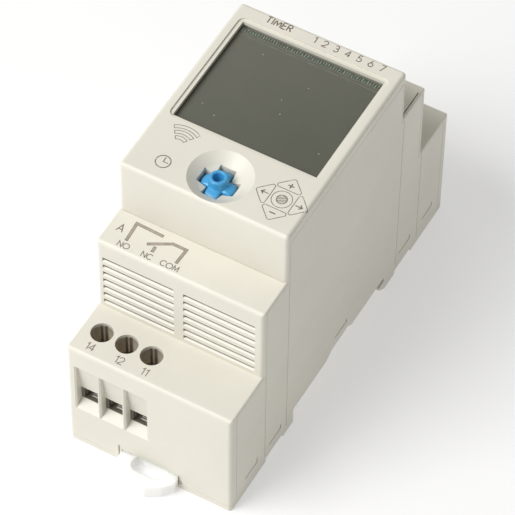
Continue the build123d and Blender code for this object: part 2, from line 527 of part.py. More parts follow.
# ---------------------------------------------------------------- joystick
# Push on a plunger, then two tilts through a gimbal ring, all inside the switch body.
SWITCH_HALF, SWITCH_TOP, SWITCH_CAVITY_R, SWITCH_FLOOR = 3.6, 56.4, 2.8, 1.0
PLUNGER_Z, PLUNGER_R = (53.6, 54.1), 2.6
FORK_X, FORK_HALF, FORK_RISE = (2.05, 2.5), 0.5, 0.5    # plunger's two posts, which carry the ring
RING_PIN, STEM_PIN = (1.8, 2.35), (0.6, 1.6)            # reach of the pins from the pivot
RING_OUT_R, RING_IN_R, RING_HALF_Z = 1.95, 1.25, 0.35
PIN_R, PIN_HOLE_R = 0.22, 0.28
STEM_R, HUB_R, HUB_HALF_Z = 0.7, 0.85, 0.6
STEM_REST = 0.3                         # stem's end below the top of the cap's arms
STUB_BASE_R, STUB_TOP_R, STUB_HOLE_R = 1.95, 1.75, 1.06
CAP_CORNER_R, STEM_FIT = 0.3, 0.03


def tilt_pin(direction, start, end):
    """A pair of small pins through the pivot, along X or Y."""
    with BuildPart() as pins:
        for side in (-1, 1):
            normal = (side, 0, 0) if direction == "x" else (0, side, 0)
            origin = (STICK_X + normal[0] * start, STICK_Y + normal[1] * start, STICK_PIVOT_Z)
            with BuildSketch(Plane(origin=origin, z_dir=normal)):
                Circle(PIN_R)
            extrude(amount=end - start)
    return pins.part


def tilt_bore(direction):
    """The clearance hole for those pins, right through."""
    normal = (1, 0, 0) if direction == "x" else (0, 1, 0)
    with BuildPart() as bore:
        with BuildSketch(Plane(origin=(STICK_X, STICK_Y, STICK_PIVOT_Z), z_dir=normal)):
            Circle(PIN_HOLE_R)
        extrude(amount=4, both=True)
    return bore.part


with BuildPart() as joystick_switch_body:
    with BuildSketch(Plane.XY.offset(BOARD_TOP)):
        with Locations((STICK_X, STICK_Y)):
            RectangleRounded(2 * SWITCH_HALF, 2 * SWITCH_HALF, 0.6)
    extrude(amount=SWITCH_TOP - BOARD_TOP)
    with BuildSketch(Plane.XY.offset(SWITCH_TOP)):
        with Locations((STICK_X, STICK_Y)):
            Circle(SWITCH_CAVITY_R)
    extrude(amount=-(SWITCH_TOP - BOARD_TOP - SWITCH_FLOOR), mode=Mode.SUBTRACT)
save(joystick_switch_body, "joystick_switch_body")

with BuildPart() as joystick_plunger:
    with BuildSketch(Plane.XY.offset(PLUNGER_Z[0])):
        with Locations((STICK_X, STICK_Y)):
            Circle(PLUNGER_R)
    extrude(amount=PLUNGER_Z[1] - PLUNGER_Z[0])
    for side in (-1, 1):
        x_from, x_to = limits(side, *FORK_X)
        add(plate(STICK_X + x_from, STICK_X + x_to, STICK_Y - FORK_HALF, STICK_Y + FORK_HALF, PLUNGER_Z[0],
                  STICK_PIVOT_Z + FORK_RISE))
    add(tilt_bore("x"), mode=Mode.SUBTRACT)
save(joystick_plunger, "joystick_plunger")

with BuildPart() as joystick_gimbal:
    with BuildSketch(Plane.XY.offset(STICK_PIVOT_Z - RING_HALF_Z)):
        with Locations((STICK_X, STICK_Y)):
            Circle(RING_OUT_R)
            Circle(RING_IN_R, mode=Mode.SUBTRACT)
    extrude(amount=2 * RING_HALF_Z)
    add(tilt_bore("y"), mode=Mode.SUBTRACT)
    add(tilt_pin("x", *RING_PIN))
save(joystick_gimbal, "joystick_gimbal")

with BuildPart() as joystick_stem:
    with BuildSketch(Plane.XY.offset(STICK_PIVOT_Z - HUB_HALF_Z)):
        with Locations((STICK_X, STICK_Y)):
            Circle(HUB_R)
    extrude(amount=2 * HUB_HALF_Z)
    with BuildSketch(Plane.XY.offset(STICK_PIVOT_Z)):
        with Locations((STICK_X, STICK_Y)):
            Circle(STEM_R)
    extrude(amount=CAP_PLATE_Z[1] - STEM_REST - STICK_PIVOT_Z)
    add(tilt_pin("y", *STEM_PIN))
save(joystick_stem, "joystick_stem")

with BuildPart() as joystick_cap:
    arms_z, arms_top = CAP_PLATE_Z
    with BuildSketch(Plane.XY.offset(arms_z)) as arms:
        with Locations((STICK_X, STICK_Y)):
            Rectangle(2 * CAP_ARM, 2 * CAP_ARM_HALF)
            Rectangle(2 * CAP_ARM_HALF, 2 * CAP_ARM)
            Circle(CAP_ARM, mode=Mode.INTERSECT)
        fillet(arms.vertices(), CAP_CORNER_R)
    extrude(amount=arms_top - arms_z)
    stub = [(0, arms_z + 0.2), (STUB_BASE_R, arms_z + 0.2), (STUB_BASE_R, arms_top + 0.1),
            (STUB_BASE_R - 0.2, arms_top + 0.6), (STUB_TOP_R, CAP_TOP_Z - 0.2), (STUB_TOP_R - 0.2, CAP_TOP_Z),
            (0, CAP_TOP_Z)]
    add(turned(stub, STICK_X, STICK_Y))
    with BuildSketch(Plane.XY.offset(CAP_TOP_Z)):
        with Locations((STICK_X, STICK_Y)):
            Circle(STUB_HOLE_R)
    extrude(amount=arms_top + STEM_REST - CAP_TOP_Z, mode=Mode.SUBTRACT)
    with BuildSketch(Plane.XY.offset(arms_z - 1)):
        with Locations((STICK_X, STICK_Y)):
            Circle(STEM_R + STEM_FIT)
    extrude(amount=arms_top - STEM_REST + STEM_FIT - arms_z + 1, mode=Mode.SUBTRACT)
save(joystick_cap, "joystick_cap")

# ---------------------------------------------------------------- power and link boards
POWER_TOP = POWER_BOARD_Z + BOARD_T
POWER_BOARD_END = 31.6
POWER_HOLES, POWER_HOLE_R = (24.0, 46.0), 1.0
LINK_WIDTH = 28.0
PIN_PITCH, PIN_COUNT, PIN_SIZE, PIN_LENGTH, PIN_SET = 2.54, 10, 0.64, 2.5, 0.4

with BuildPart() as power_board:
    with BuildSketch(Plane.XY.offset(POWER_BOARD_Z)):
        RectangleRounded(2 * BOARD_HALF, 2 * POWER_BOARD_END, BOARD_CORNER_R)
        with GridLocations(*POWER_HOLES, 2, 2):
            Circle(POWER_HOLE_R, mode=Mode.SUBTRACT)
    extrude(amount=BOARD_T)
save(power_board, "power_board")

with BuildPart() as link_board:
    with BuildSketch(Plane.YZ.offset(LINK_X)):
        with Locations((0, (POWER_TOP + DISPLAY_BOARD_Z) / 2)):
            Rectangle(LINK_WIDTH, DISPLAY_BOARD_Z - POWER_TOP)
    extrude(amount=BOARD_T)
save(link_board, "link_board")

with BuildPart() as header_pins:
    for z_from in (POWER_TOP, DISPLAY_BOARD_Z - PIN_LENGTH):
        with BuildSketch(Plane.XY.offset(z_from)):
            with Locations((LINK_X - PIN_SET, 0)):
                with GridLocations(1, PIN_PITCH, 1, PIN_COUNT):
                    Rectangle(PIN_SIZE, PIN_SIZE)
        extrude(amount=PIN_LENGTH)
save(header_pins, "header_pins")

# ---------------------------------------------------------------- relay
# Changeover relay: the coil pulls the armature, whose arm moves between two fixed contacts.
RELAY = (-14.2, -1.2, -14.5, 14.5)
RELAY_BASE_TOP, RELAY_TOP, RELAY_WALL = 12.0, 25.6, 0.8
COIL_X, COIL_Z = -7.7, 17.4
COIL_Y = (-2.0, 11.2)
COIL_R, BOBBIN_HALF, CORE_R = 4.0, 4.5, 1.6
FLANGE_T = 0.8
YOKE_HALF, YOKE_Z = 4.0, (22.4, 23.4)
POLE_Y = -2.9
ARMATURE_Y = (-4.4, -3.4)
ARMATURE_PIVOT = (-3.4, 22.9)
ARM_Z, ARM_T, ARM_X = 19.6, 0.3, (-9.0, -6.4)
CONTACT_Y, CONTACT_R, CONTACT_T = -9.6, 1.1, 0.45
CONTACT_GAP, CONTACT_CLOSED_GAP = 0.45, 0.05
CORE_FIT, TUBE_WALL = 0.05, 0.7         # bobbin's bore over the core, and its tube's wall
YOKE_T, YOKE_FIT, YOKE_FAR_Y = 1.2, 0.1, -3.0
ARMATURE_REACH = 3.6                    # armature's lower edge below the core's middle
TAB_HEIGHT, ARM_PAST = 2.4, 1.4         # moving arm's upright tab, and its tip past the contact
STRIP_Y, STRIP_T = -8.4, 0.5            # fixed contacts' strips end here
CLOSED_LEG_Y, OPEN_LEG_Y, OPEN_LEG_X = -12.6, -11.4, (-5.8, -3.8)


def rod(radius, x, z, y_from, y_to):
    """A cylinder along Y."""
    with BuildPart() as solid:
        with BuildSketch(Plane(origin=(x, y_from, z), x_dir=(1, 0, 0), z_dir=(0, 1, 0))):
            Circle(radius)
        extrude(amount=y_to - y_from)
    return solid.part


def button(z_from, z_to):
    """A round contact on the relay's arm or springs."""
    with BuildPart() as solid:
        with BuildSketch(Plane.XY.offset(z_from)):
            with Locations((sum(ARM_X) / 2, CONTACT_Y)):
                Circle(CONTACT_R)
        extrude(amount=z_to - z_from)
    return solid.part


with BuildPart() as relay_base:
    add(plate(*RELAY, POWER_TOP, RELAY_BASE_TOP))
    fillet(relay_base.edges().filter_by(Axis.Z), 0.4)
save(relay_base, "relay_base")

with BuildPart() as relay_case:
    add(plate(*RELAY, RELAY_BASE_TOP, RELAY_TOP))
    fillet(relay_case.edges().filter_by(Axis.Z) + relay_case.faces().sort_by(Axis.Z)[-1].edges(), 0.4)
    add(plate(RELAY[0] + RELAY_WALL, RELAY[1] - RELAY_WALL, RELAY[2] + RELAY_WALL, RELAY[3] - RELAY_WALL,
              RELAY_BASE_TOP - 1, RELAY_TOP - RELAY_WALL), mode=Mode.SUBTRACT)
save(relay_case, "relay_case")

with BuildPart() as relay_bobbin:
    for y_from, y_to in ((COIL_Y[0], COIL_Y[0] + FLANGE_T), (COIL_Y[1] - FLANGE_T, COIL_Y[1])):
        add(plate(COIL_X - BOBBIN_HALF, COIL_X + BOBBIN_HALF, y_from, y_to, COIL_Z - BOBBIN_HALF,
                  COIL_Z + BOBBIN_HALF))
    add(rod(CORE_R + TUBE_WALL, COIL_X, COIL_Z, *COIL_Y))
    add(rod(CORE_R + CORE_FIT, COIL_X, COIL_Z, COIL_Y[0] - 1, COIL_Y[1] + 1), mode=Mode.SUBTRACT)
save(relay_bobbin, "relay_bobbin")

with BuildPart() as relay_coil:
    add(rod(COIL_R, COIL_X, COIL_Z, COIL_Y[0] + FLANGE_T, COIL_Y[1] - FLANGE_T))
    add(rod(CORE_R + TUBE_WALL, COIL_X, COIL_Z, *COIL_Y), mode=Mode.SUBTRACT)
save(relay_coil, "relay_coil")

with BuildPart() as relay_yoke:
    left, right, back = COIL_X - YOKE_HALF, COIL_X + YOKE_HALF, COIL_Y[1] + YOKE_FIT
    add(plate(left, right, back, back + YOKE_T, RELAY_BASE_TOP, YOKE_Z[1]))
    add(plate(left, right, YOKE_FAR_Y, back, *YOKE_Z))
    add(rod(CORE_R, COIL_X, COIL_Z, POLE_Y, back + YOKE_T / 2))
save(relay_yoke, "relay_yoke")

with BuildPart() as relay_armature:
    add(plate(COIL_X - YOKE_HALF, COIL_X + YOKE_HALF, *ARMATURE_Y, COIL_Z - ARMATURE_REACH, YOKE_Z[1]))
    fillet(relay_armature.edges().filter_by(Axis.Y), 0.5)
save(relay_armature, "relay_armature")

with BuildPart() as relay_moving_contact:
    add(plate(*ARM_X, ARMATURE_Y[0] - ARM_T, ARMATURE_Y[0], ARM_Z, ARM_Z + TAB_HEIGHT))
    add(plate(*ARM_X, CONTACT_Y - ARM_PAST, ARMATURE_Y[0], ARM_Z, ARM_Z + ARM_T))
    add(button(ARM_Z - CONTACT_T, ARM_Z + ARM_T + CONTACT_T))
save(relay_moving_contact, "relay_moving_contact")

with BuildPart() as relay_fixed_contacts:
    closed_z = ARM_Z + ARM_T + CONTACT_T + CONTACT_CLOSED_GAP
    strip_z = closed_z + CONTACT_T
    add(button(closed_z, strip_z + 0.1))
    add(plate(*ARM_X, CLOSED_LEG_Y, STRIP_Y, strip_z, strip_z + STRIP_T))
    add(plate(*ARM_X, CLOSED_LEG_Y, CLOSED_LEG_Y + STRIP_T, RELAY_BASE_TOP, strip_z + STRIP_T))
    open_z = ARM_Z - CONTACT_T - CONTACT_GAP
    strip_z = open_z - CONTACT_T
    add(button(strip_z - 0.1, open_z))
    add(plate(ARM_X[0], OPEN_LEG_X[1], OPEN_LEG_Y, STRIP_Y, strip_z - STRIP_T, strip_z))
    add(plate(*OPEN_LEG_X, OPEN_LEG_Y, OPEN_LEG_Y + STRIP_T, RELAY_BASE_TOP, strip_z))
save(relay_fixed_contacts, "relay_fixed_contacts")

# ---------------------------------------------------------------- parts on the power board
# Places are x, y on the board, and heights are above the board's top.
BULK_CAN = (6.0, -8.0, 5.0, 20.0)       # x, y, radius, height
OUTPUT_CAN = (6.0, 3.4, 4.0, 12.0)
CRIMP_HEIGHT, CRIMP_HALF, CRIMP_DEPTH = 2.2, 0.6, 0.4
SCORE_WIDTH, SCORE_DEPTH = 0.3, 0.25
FILM_BOX, FILM_HEIGHT = (-0.8, 11.6, 10.0, 16.0), 12.0
VARISTOR_AT, VARISTOR_R, VARISTOR_T, VARISTOR_HEIGHT = (5.0, 19.4), 5.0, 3.6, 7.5
VARISTOR_LEGS, LEG_HALF = 2.5, 0.4
DRUM_AT, DRUM_R, DRUM_WAIST_R = (-9.0, 21.5), 4.2, 3.4
DRUM_HEIGHTS = (1.2, 1.6, 6.8, 7.2, 8.4)
BRIDGE_BOX, BRIDGE_HEIGHT = (-13.2, -4.8, -24.2, -17.8), (0.6, 3.4)
BRIDGE_LEG_X, BRIDGE_LEG_Y, BRIDGE_LEG_HEIGHT = (-11.5, -6.5), (-24.7, -17.3), 2.0
RESISTOR_X, RESISTOR_R, RESISTOR_Y, RESISTOR_HEIGHT = 6.0, 1.7, (24.6, 29.6), 2.0
WIRE_HALF, WIRE_Y = 0.3, (23.6, 30.5)
REGULATOR_BOX, REGULATOR_HEIGHT = (1.5, 8.1, -22.6, -16.6), (0.3, 2.6)
TAB_BOX, LEGS_X, LEGS_Y, SHEET_HEIGHT = (1.9, 7.7, -16.8, -15.4), (2.5, 4.8, 7.1), (-25.2, -22.4), (0.1, 0.7)


def on_board(box, low, high):
    """A rectangular block over the power board, from a low to a high height above it."""
    return plate(*box, POWER_TOP + low, POWER_TOP + high)


def can(x, y, radius, height):
    """An upright electrolytic capacitor with a crimp groove and a scored top."""
    crimp, top = POWER_TOP + CRIMP_HEIGHT, POWER_TOP + height
    profile = [(0, POWER_TOP), (radius, POWER_TOP), (radius, crimp - CRIMP_HALF), (radius - CRIMP_DEPTH, crimp),
               (radius, crimp + CRIMP_HALF), (radius, top - CRIMP_DEPTH), (radius - CRIMP_DEPTH, top), (0, top)]
    with BuildPart() as solid:
        add(turned(profile, x, y))
        for turn in (0, 90):
            with BuildSketch(Plane.XY.offset(top)):
                with Locations((x, y)):
                    Rectangle(1.3 * radius, SCORE_WIDTH, rotation=turn)
            extrude(amount=-SCORE_DEPTH, mode=Mode.SUBTRACT)
    return solid.part


with BuildPart() as bulk_capacitor:
    add(can(*BULK_CAN))
save(bulk_capacitor, "bulk_capacitor")

with BuildPart() as output_capacitor:
    add(can(*OUTPUT_CAN))
save(output_capacitor, "output_capacitor")

with BuildPart() as film_capacitor:
    add(on_board(FILM_BOX, 0, FILM_HEIGHT))
    fillet(film_capacitor.edges().filter_by(Axis.Z) + film_capacitor.faces().sort_by(Axis.Z)[-1].edges(), 0.5)
save(film_capacitor, "film_capacitor")

with BuildPart() as varistor:
    x, y = VARISTOR_AT
    with BuildSketch(Plane(origin=(x, y, POWER_TOP + VARISTOR_HEIGHT), x_dir=(1, 0, 0), z_dir=(0, 1, 0))):
        Circle(VARISTOR_R)
    extrude(amount=VARISTOR_T)
    fillet(varistor.edges().filter_by(GeomType.CIRCLE), 1.2)
    middle_y = y + VARISTOR_T / 2
    for leg_x in (x - VARISTOR_LEGS, x + VARISTOR_LEGS):
        leg = (leg_x - LEG_HALF, leg_x + LEG_HALF, middle_y - LEG_HALF, middle_y + LEG_HALF)
        add(on_board(leg, 0, VARISTOR_HEIGHT - VARISTOR_LEGS))
save(varistor, "varistor")

with BuildPart() as inductor:
    low_rim, waist_from, waist_to, high_rim, drum_top = (POWER_TOP + height for height in DRUM_HEIGHTS)
    drum = [(0, POWER_TOP), (DRUM_R, POWER_TOP), (DRUM_R, low_rim), (DRUM_WAIST_R, waist_from),
            (DRUM_WAIST_R, waist_to), (DRUM_R, high_rim), (DRUM_R, drum_top), (0, drum_top)]
    add(turned(drum, *DRUM_AT))
save(inductor, "inductor")

with BuildPart() as bridge_rectifier:
    add(on_board(BRIDGE_BOX, *BRIDGE_HEIGHT))
    fillet(bridge_rectifier.edges().filter_by(Axis.Z), 0.4)
    for x in BRIDGE_LEG_X:
        for y in BRIDGE_LEG_Y:
            add(on_board((x - LEG_HALF, x + LEG_HALF, y - 0.5, y + 0.5), 0, BRIDGE_LEG_HEIGHT))
save(bridge_rectifier, "bridge_rectifier")

with BuildPart() as fuse_resistor:
    add(rod(RESISTOR_R, RESISTOR_X, POWER_TOP + RESISTOR_HEIGHT, *RESISTOR_Y))
    fillet(fuse_resistor.edges().filter_by(GeomType.CIRCLE), 0.5)
    left, right = RESISTOR_X - WIRE_HALF, RESISTOR_X + WIRE_HALF
    near, far = WIRE_Y
    add(on_board((left, right, near, far), RESISTOR_HEIGHT - WIRE_HALF, RESISTOR_HEIGHT + WIRE_HALF))
    for y in (near, far - 2 * WIRE_HALF):
        add(on_board((left, right, y, y + 2 * WIRE_HALF), 0, RESISTOR_HEIGHT + WIRE_HALF))
save(fuse_resistor, "fuse_resistor")

with BuildPart() as voltage_regulator:
    add(on_board(REGULATOR_BOX, *REGULATOR_HEIGHT))
    add(on_board(TAB_BOX, *SHEET_HEIGHT))
    for x in LEGS_X:
        add(on_board((x - LEG_HALF, x + LEG_HALF, *LEGS_Y), *SHEET_HEIGHT))
save(voltage_regulator, "voltage_regulator")

# ---------------------------------------------------------------- screw terminals
# Turning the screw lifts its cage, which clamps the wire against the blade.
CAGE_HALF, CAGE_Y = 2.2, (33.1, 39.9)
BLADE_HALF, BLADE_Y, TAIL_Y = 1.3, (30.4, 39.8), (30.4, 31.2)
HEAD_Z = (21.3, 23.4)
CROSS_SLOTS, CROSS_WIDTH, CROSS_DEPTH = (3.4, 2.6), 0.6, 1.1    # screw head's long and short slots
THREAD_GAP = 0.05

for name, x, side in terminals:
    with BuildPart() as cage:
        y_from, y_to = limits(side, *CAGE_Y)
        add(plate(x - CAGE_HALF, x + CAGE_HALF, y_from, y_to, *CAGE_Z))
        fillet(cage.edges().filter_by(Axis.Y), 0.4)
        y_from, y_to = limits(side, CAGE_Y[0] - 1, CAGE_Y[1] + 1)
        add(plate(x - CAGE_HALF + CAGE_WALL, x + CAGE_HALF - CAGE_WALL, y_from, y_to,
                  CAGE_Z[0] + CAGE_WALL, CAGE_Z[1] - CAGE_ROOF), mode=Mode.SUBTRACT)
        with BuildSketch(Plane.XY.offset(CAGE_Z[1] - CAGE_ROOF - 0.1)):
            with Locations((x, side * TERMINAL_Y)):
                Circle(SCREW_R + THREAD_GAP)
        extrude(amount=CAGE_ROOF + 0.2, mode=Mode.SUBTRACT)
    save(cage, f"cage_{name}")

    with BuildPart() as screw:
        with BuildSketch(Plane.XY.offset(HEAD_Z[0])):
            with Locations((x, side * TERMINAL_Y)):
                Circle(SCREW_HEAD_R)
        extrude(amount=HEAD_Z[1] - HEAD_Z[0])
        fillet(screw.faces().sort_by(Axis.Z)[-1].edges(), 0.4)
        with BuildSketch(Plane.XY.offset(BLADE_Z + BLADE_T + THREAD_GAP)):
            with Locations((x, side * TERMINAL_Y)):
                Circle(SCREW_R)
        extrude(amount=HEAD_Z[0] - BLADE_Z - BLADE_T - THREAD_GAP)
        with BuildSketch(Plane.XY.offset(HEAD_Z[1])):
            with Locations((x, side * TERMINAL_Y)):
                Rectangle(CROSS_SLOTS[0], CROSS_WIDTH)
                Rectangle(CROSS_WIDTH, CROSS_SLOTS[1])
        extrude(amount=-CROSS_DEPTH, mode=Mode.SUBTRACT)
    save(screw, f"screw_{name}")

    with BuildPart() as blade:
        y_from, y_to = limits(side, *BLADE_Y)
        add(plate(x - BLADE_HALF, x + BLADE_HALF, y_from, y_to, BLADE_Z, BLADE_Z + BLADE_T))
        y_from, y_to = limits(side, *TAIL_Y)
        add(plate(x - BLADE_HALF, x + BLADE_HALF, y_from, y_to, POWER_TOP, BLADE_Z + BLADE_T))
    save(blade, f"blade_{name}")
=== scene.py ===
"""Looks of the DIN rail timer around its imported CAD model, in metres, in the row frame.

+X runs across the modules, +Y up the device and +Z out of the front. The device lies on its back.
"""

import json
import math

import bmesh
import bpy
from mathutils import Matrix, Vector


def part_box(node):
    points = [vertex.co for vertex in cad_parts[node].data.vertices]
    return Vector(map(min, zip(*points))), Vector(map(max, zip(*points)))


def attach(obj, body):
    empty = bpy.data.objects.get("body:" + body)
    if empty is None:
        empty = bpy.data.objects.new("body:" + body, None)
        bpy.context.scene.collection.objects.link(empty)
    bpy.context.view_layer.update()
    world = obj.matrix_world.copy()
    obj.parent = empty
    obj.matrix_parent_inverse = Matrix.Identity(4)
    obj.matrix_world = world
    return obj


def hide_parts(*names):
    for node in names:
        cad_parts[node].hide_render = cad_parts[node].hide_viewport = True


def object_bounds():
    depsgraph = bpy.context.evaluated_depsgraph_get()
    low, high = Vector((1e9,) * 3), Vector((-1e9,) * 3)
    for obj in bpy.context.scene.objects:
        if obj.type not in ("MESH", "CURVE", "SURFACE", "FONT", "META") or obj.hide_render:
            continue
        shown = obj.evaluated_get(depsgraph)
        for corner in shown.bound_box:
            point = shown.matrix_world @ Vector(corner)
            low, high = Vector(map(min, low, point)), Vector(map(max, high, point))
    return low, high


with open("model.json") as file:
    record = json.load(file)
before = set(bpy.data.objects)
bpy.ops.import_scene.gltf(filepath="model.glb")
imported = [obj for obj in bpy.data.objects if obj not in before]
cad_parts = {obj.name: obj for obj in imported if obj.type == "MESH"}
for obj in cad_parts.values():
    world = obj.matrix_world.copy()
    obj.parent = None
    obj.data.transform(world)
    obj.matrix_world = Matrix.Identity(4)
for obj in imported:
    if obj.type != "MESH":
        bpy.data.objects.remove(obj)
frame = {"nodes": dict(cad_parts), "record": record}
cad_low, cad_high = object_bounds()
MM = 0.001
ABOVE_ALL = 1.0                  # a height over everything


# ---------------------------------------------------------------- places read from the frame
def surface_z(x, y, node):
    """Height of a CAD node's upper surface over the point x, y."""
    hit, place, _, _ = frame["nodes"][node].ray_cast(Vector((x, y, ABOVE_ALL)), Vector((0, 0, -1)))
    if not hit:
        raise ValueError(f"{node} has nothing over {x}, {y}")
    return place.z


lens_low, lens_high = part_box("display_window")
lcd_low, lcd_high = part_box("lcd_panel")
cap_low, cap_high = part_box("joystick_cap")
MOUNTS = {mount["name"]: mount for mount in frame["record"]["mounts"]}
WIRE_MOUNT = "wire_"
WIRE_MOUTHS = {name.removeprefix(WIRE_MOUNT): Vector(mount["pos_m"])
               for name, mount in MOUNTS.items() if name.startswith(WIRE_MOUNT)}
BORES = {name: Vector(MOUNTS[f"screwdriver_{name}"]["pos_m"]) for name in WIRE_MOUTHS}
BORE = MOUNTS["screwdriver_14"]["dims"]
BORE_R = BORE["r_mm"] * MM
TERMINAL_Z = BORES["14"].z + BORE["length_mm"] / 2 * MM


# ---------------------------------------------------------------- camera, floor and light
CAMERA_PLACE = (0.205837, -0.377784, 0.572158)
CAMERA_AZIMUTH, CAMERA_ELEVATION, CAMERA_ROLL = 28.6926, 52.1233, 0.8921
CAMERA_LENS, SENSOR = 256.654, 36.0
CLIP_START, CLIP_END = 0.01, 20.0
WORLD_COLOUR, WORLD_STRENGTH = (1.0, 0.99, 0.95), 0.37
LIGHTS = (("key", (-0.45, -0.58, 0.84), 7.95), ("fill", (-0.50, 0.60, 0.90), 0.33))    # where from, watts
LIGHT_DISTANCE, LIGHT_SIZE = 0.9, 0.55
FLOOR_SIZE, FLOOR_CELLS = 4.0, 8
FLOOR_GAP = 0.05 * MM
FLOOR_GLOW = 0.40
FLOOR_GREYS = (0.55, 0.56)


def make_camera():
    """A long lens beyond the near end, above it and to its right, rolled by under a degree."""
    azimuth, elevation = math.radians(CAMERA_AZIMUTH), math.radians(CAMERA_ELEVATION)
    back = Vector((math.sin(azimuth) * math.cos(elevation), -math.cos(azimuth) * math.cos(elevation),
                   math.sin(elevation)))
    right = Vector((math.cos(azimuth), math.sin(azimuth), 0))
    up = back.cross(right)
    turned = Matrix.Rotation(math.radians(CAMERA_ROLL), 3, back) @ Matrix((right, up, back)).transposed()
    data = bpy.data.cameras.new("camera")
    data.lens, data.sensor_width = CAMERA_LENS, SENSOR
    data.clip_start, data.clip_end = CLIP_START, CLIP_END
    camera = bpy.data.objects.new("camera", data)
    camera.matrix_world = Matrix.Translation(CAMERA_PLACE) @ turned.to_4x4()
    bpy.context.scene.collection.objects.link(camera)
    bpy.context.scene.camera = camera


def make_light(name, direction, power):
    """A soft square light that faces the object's middle."""
    data = bpy.data.lights.new(name, "AREA")
    data.shape, data.size, data.energy = "SQUARE", LIGHT_SIZE, power
    light = bpy.data.objects.new(name, data)
    away = Vector(direction).normalized()
    light.location = (cad_low + cad_high) / 2 + away * LIGHT_DISTANCE
    light.rotation_mode = "QUATERNION"
    light.rotation_quaternion = away.to_track_quat("Z", "Y")
    bpy.context.scene.collection.objects.link(light)


def make_world():
    """Even, slightly warm light from all round."""
    world = bpy.data.worlds.new("studio")
    world.use_nodes = True
    background = world.node_tree.nodes["Background"]
    background.inputs["Color"].default_value = (*WORLD_COLOUR, 1)
    background.inputs["Strength"].default_value = WORLD_STRENGTH
    bpy.context.scene.world = world


# ---------------------------------------------------------------- procedural finishes
WAVE_SCALE = math.pi / 10        # the scale at which a wave texture repeats once a unit
MIX_COLOURS, MIX_RESULT = (6, 7), 2    # the Mix node's colour inputs, and its colour output
BEVEL_SAMPLES = 4
EDGE_TURN = (0.72, 0.98)         # cosine of bevelled to true normal, on a lightened edge and on a flat face
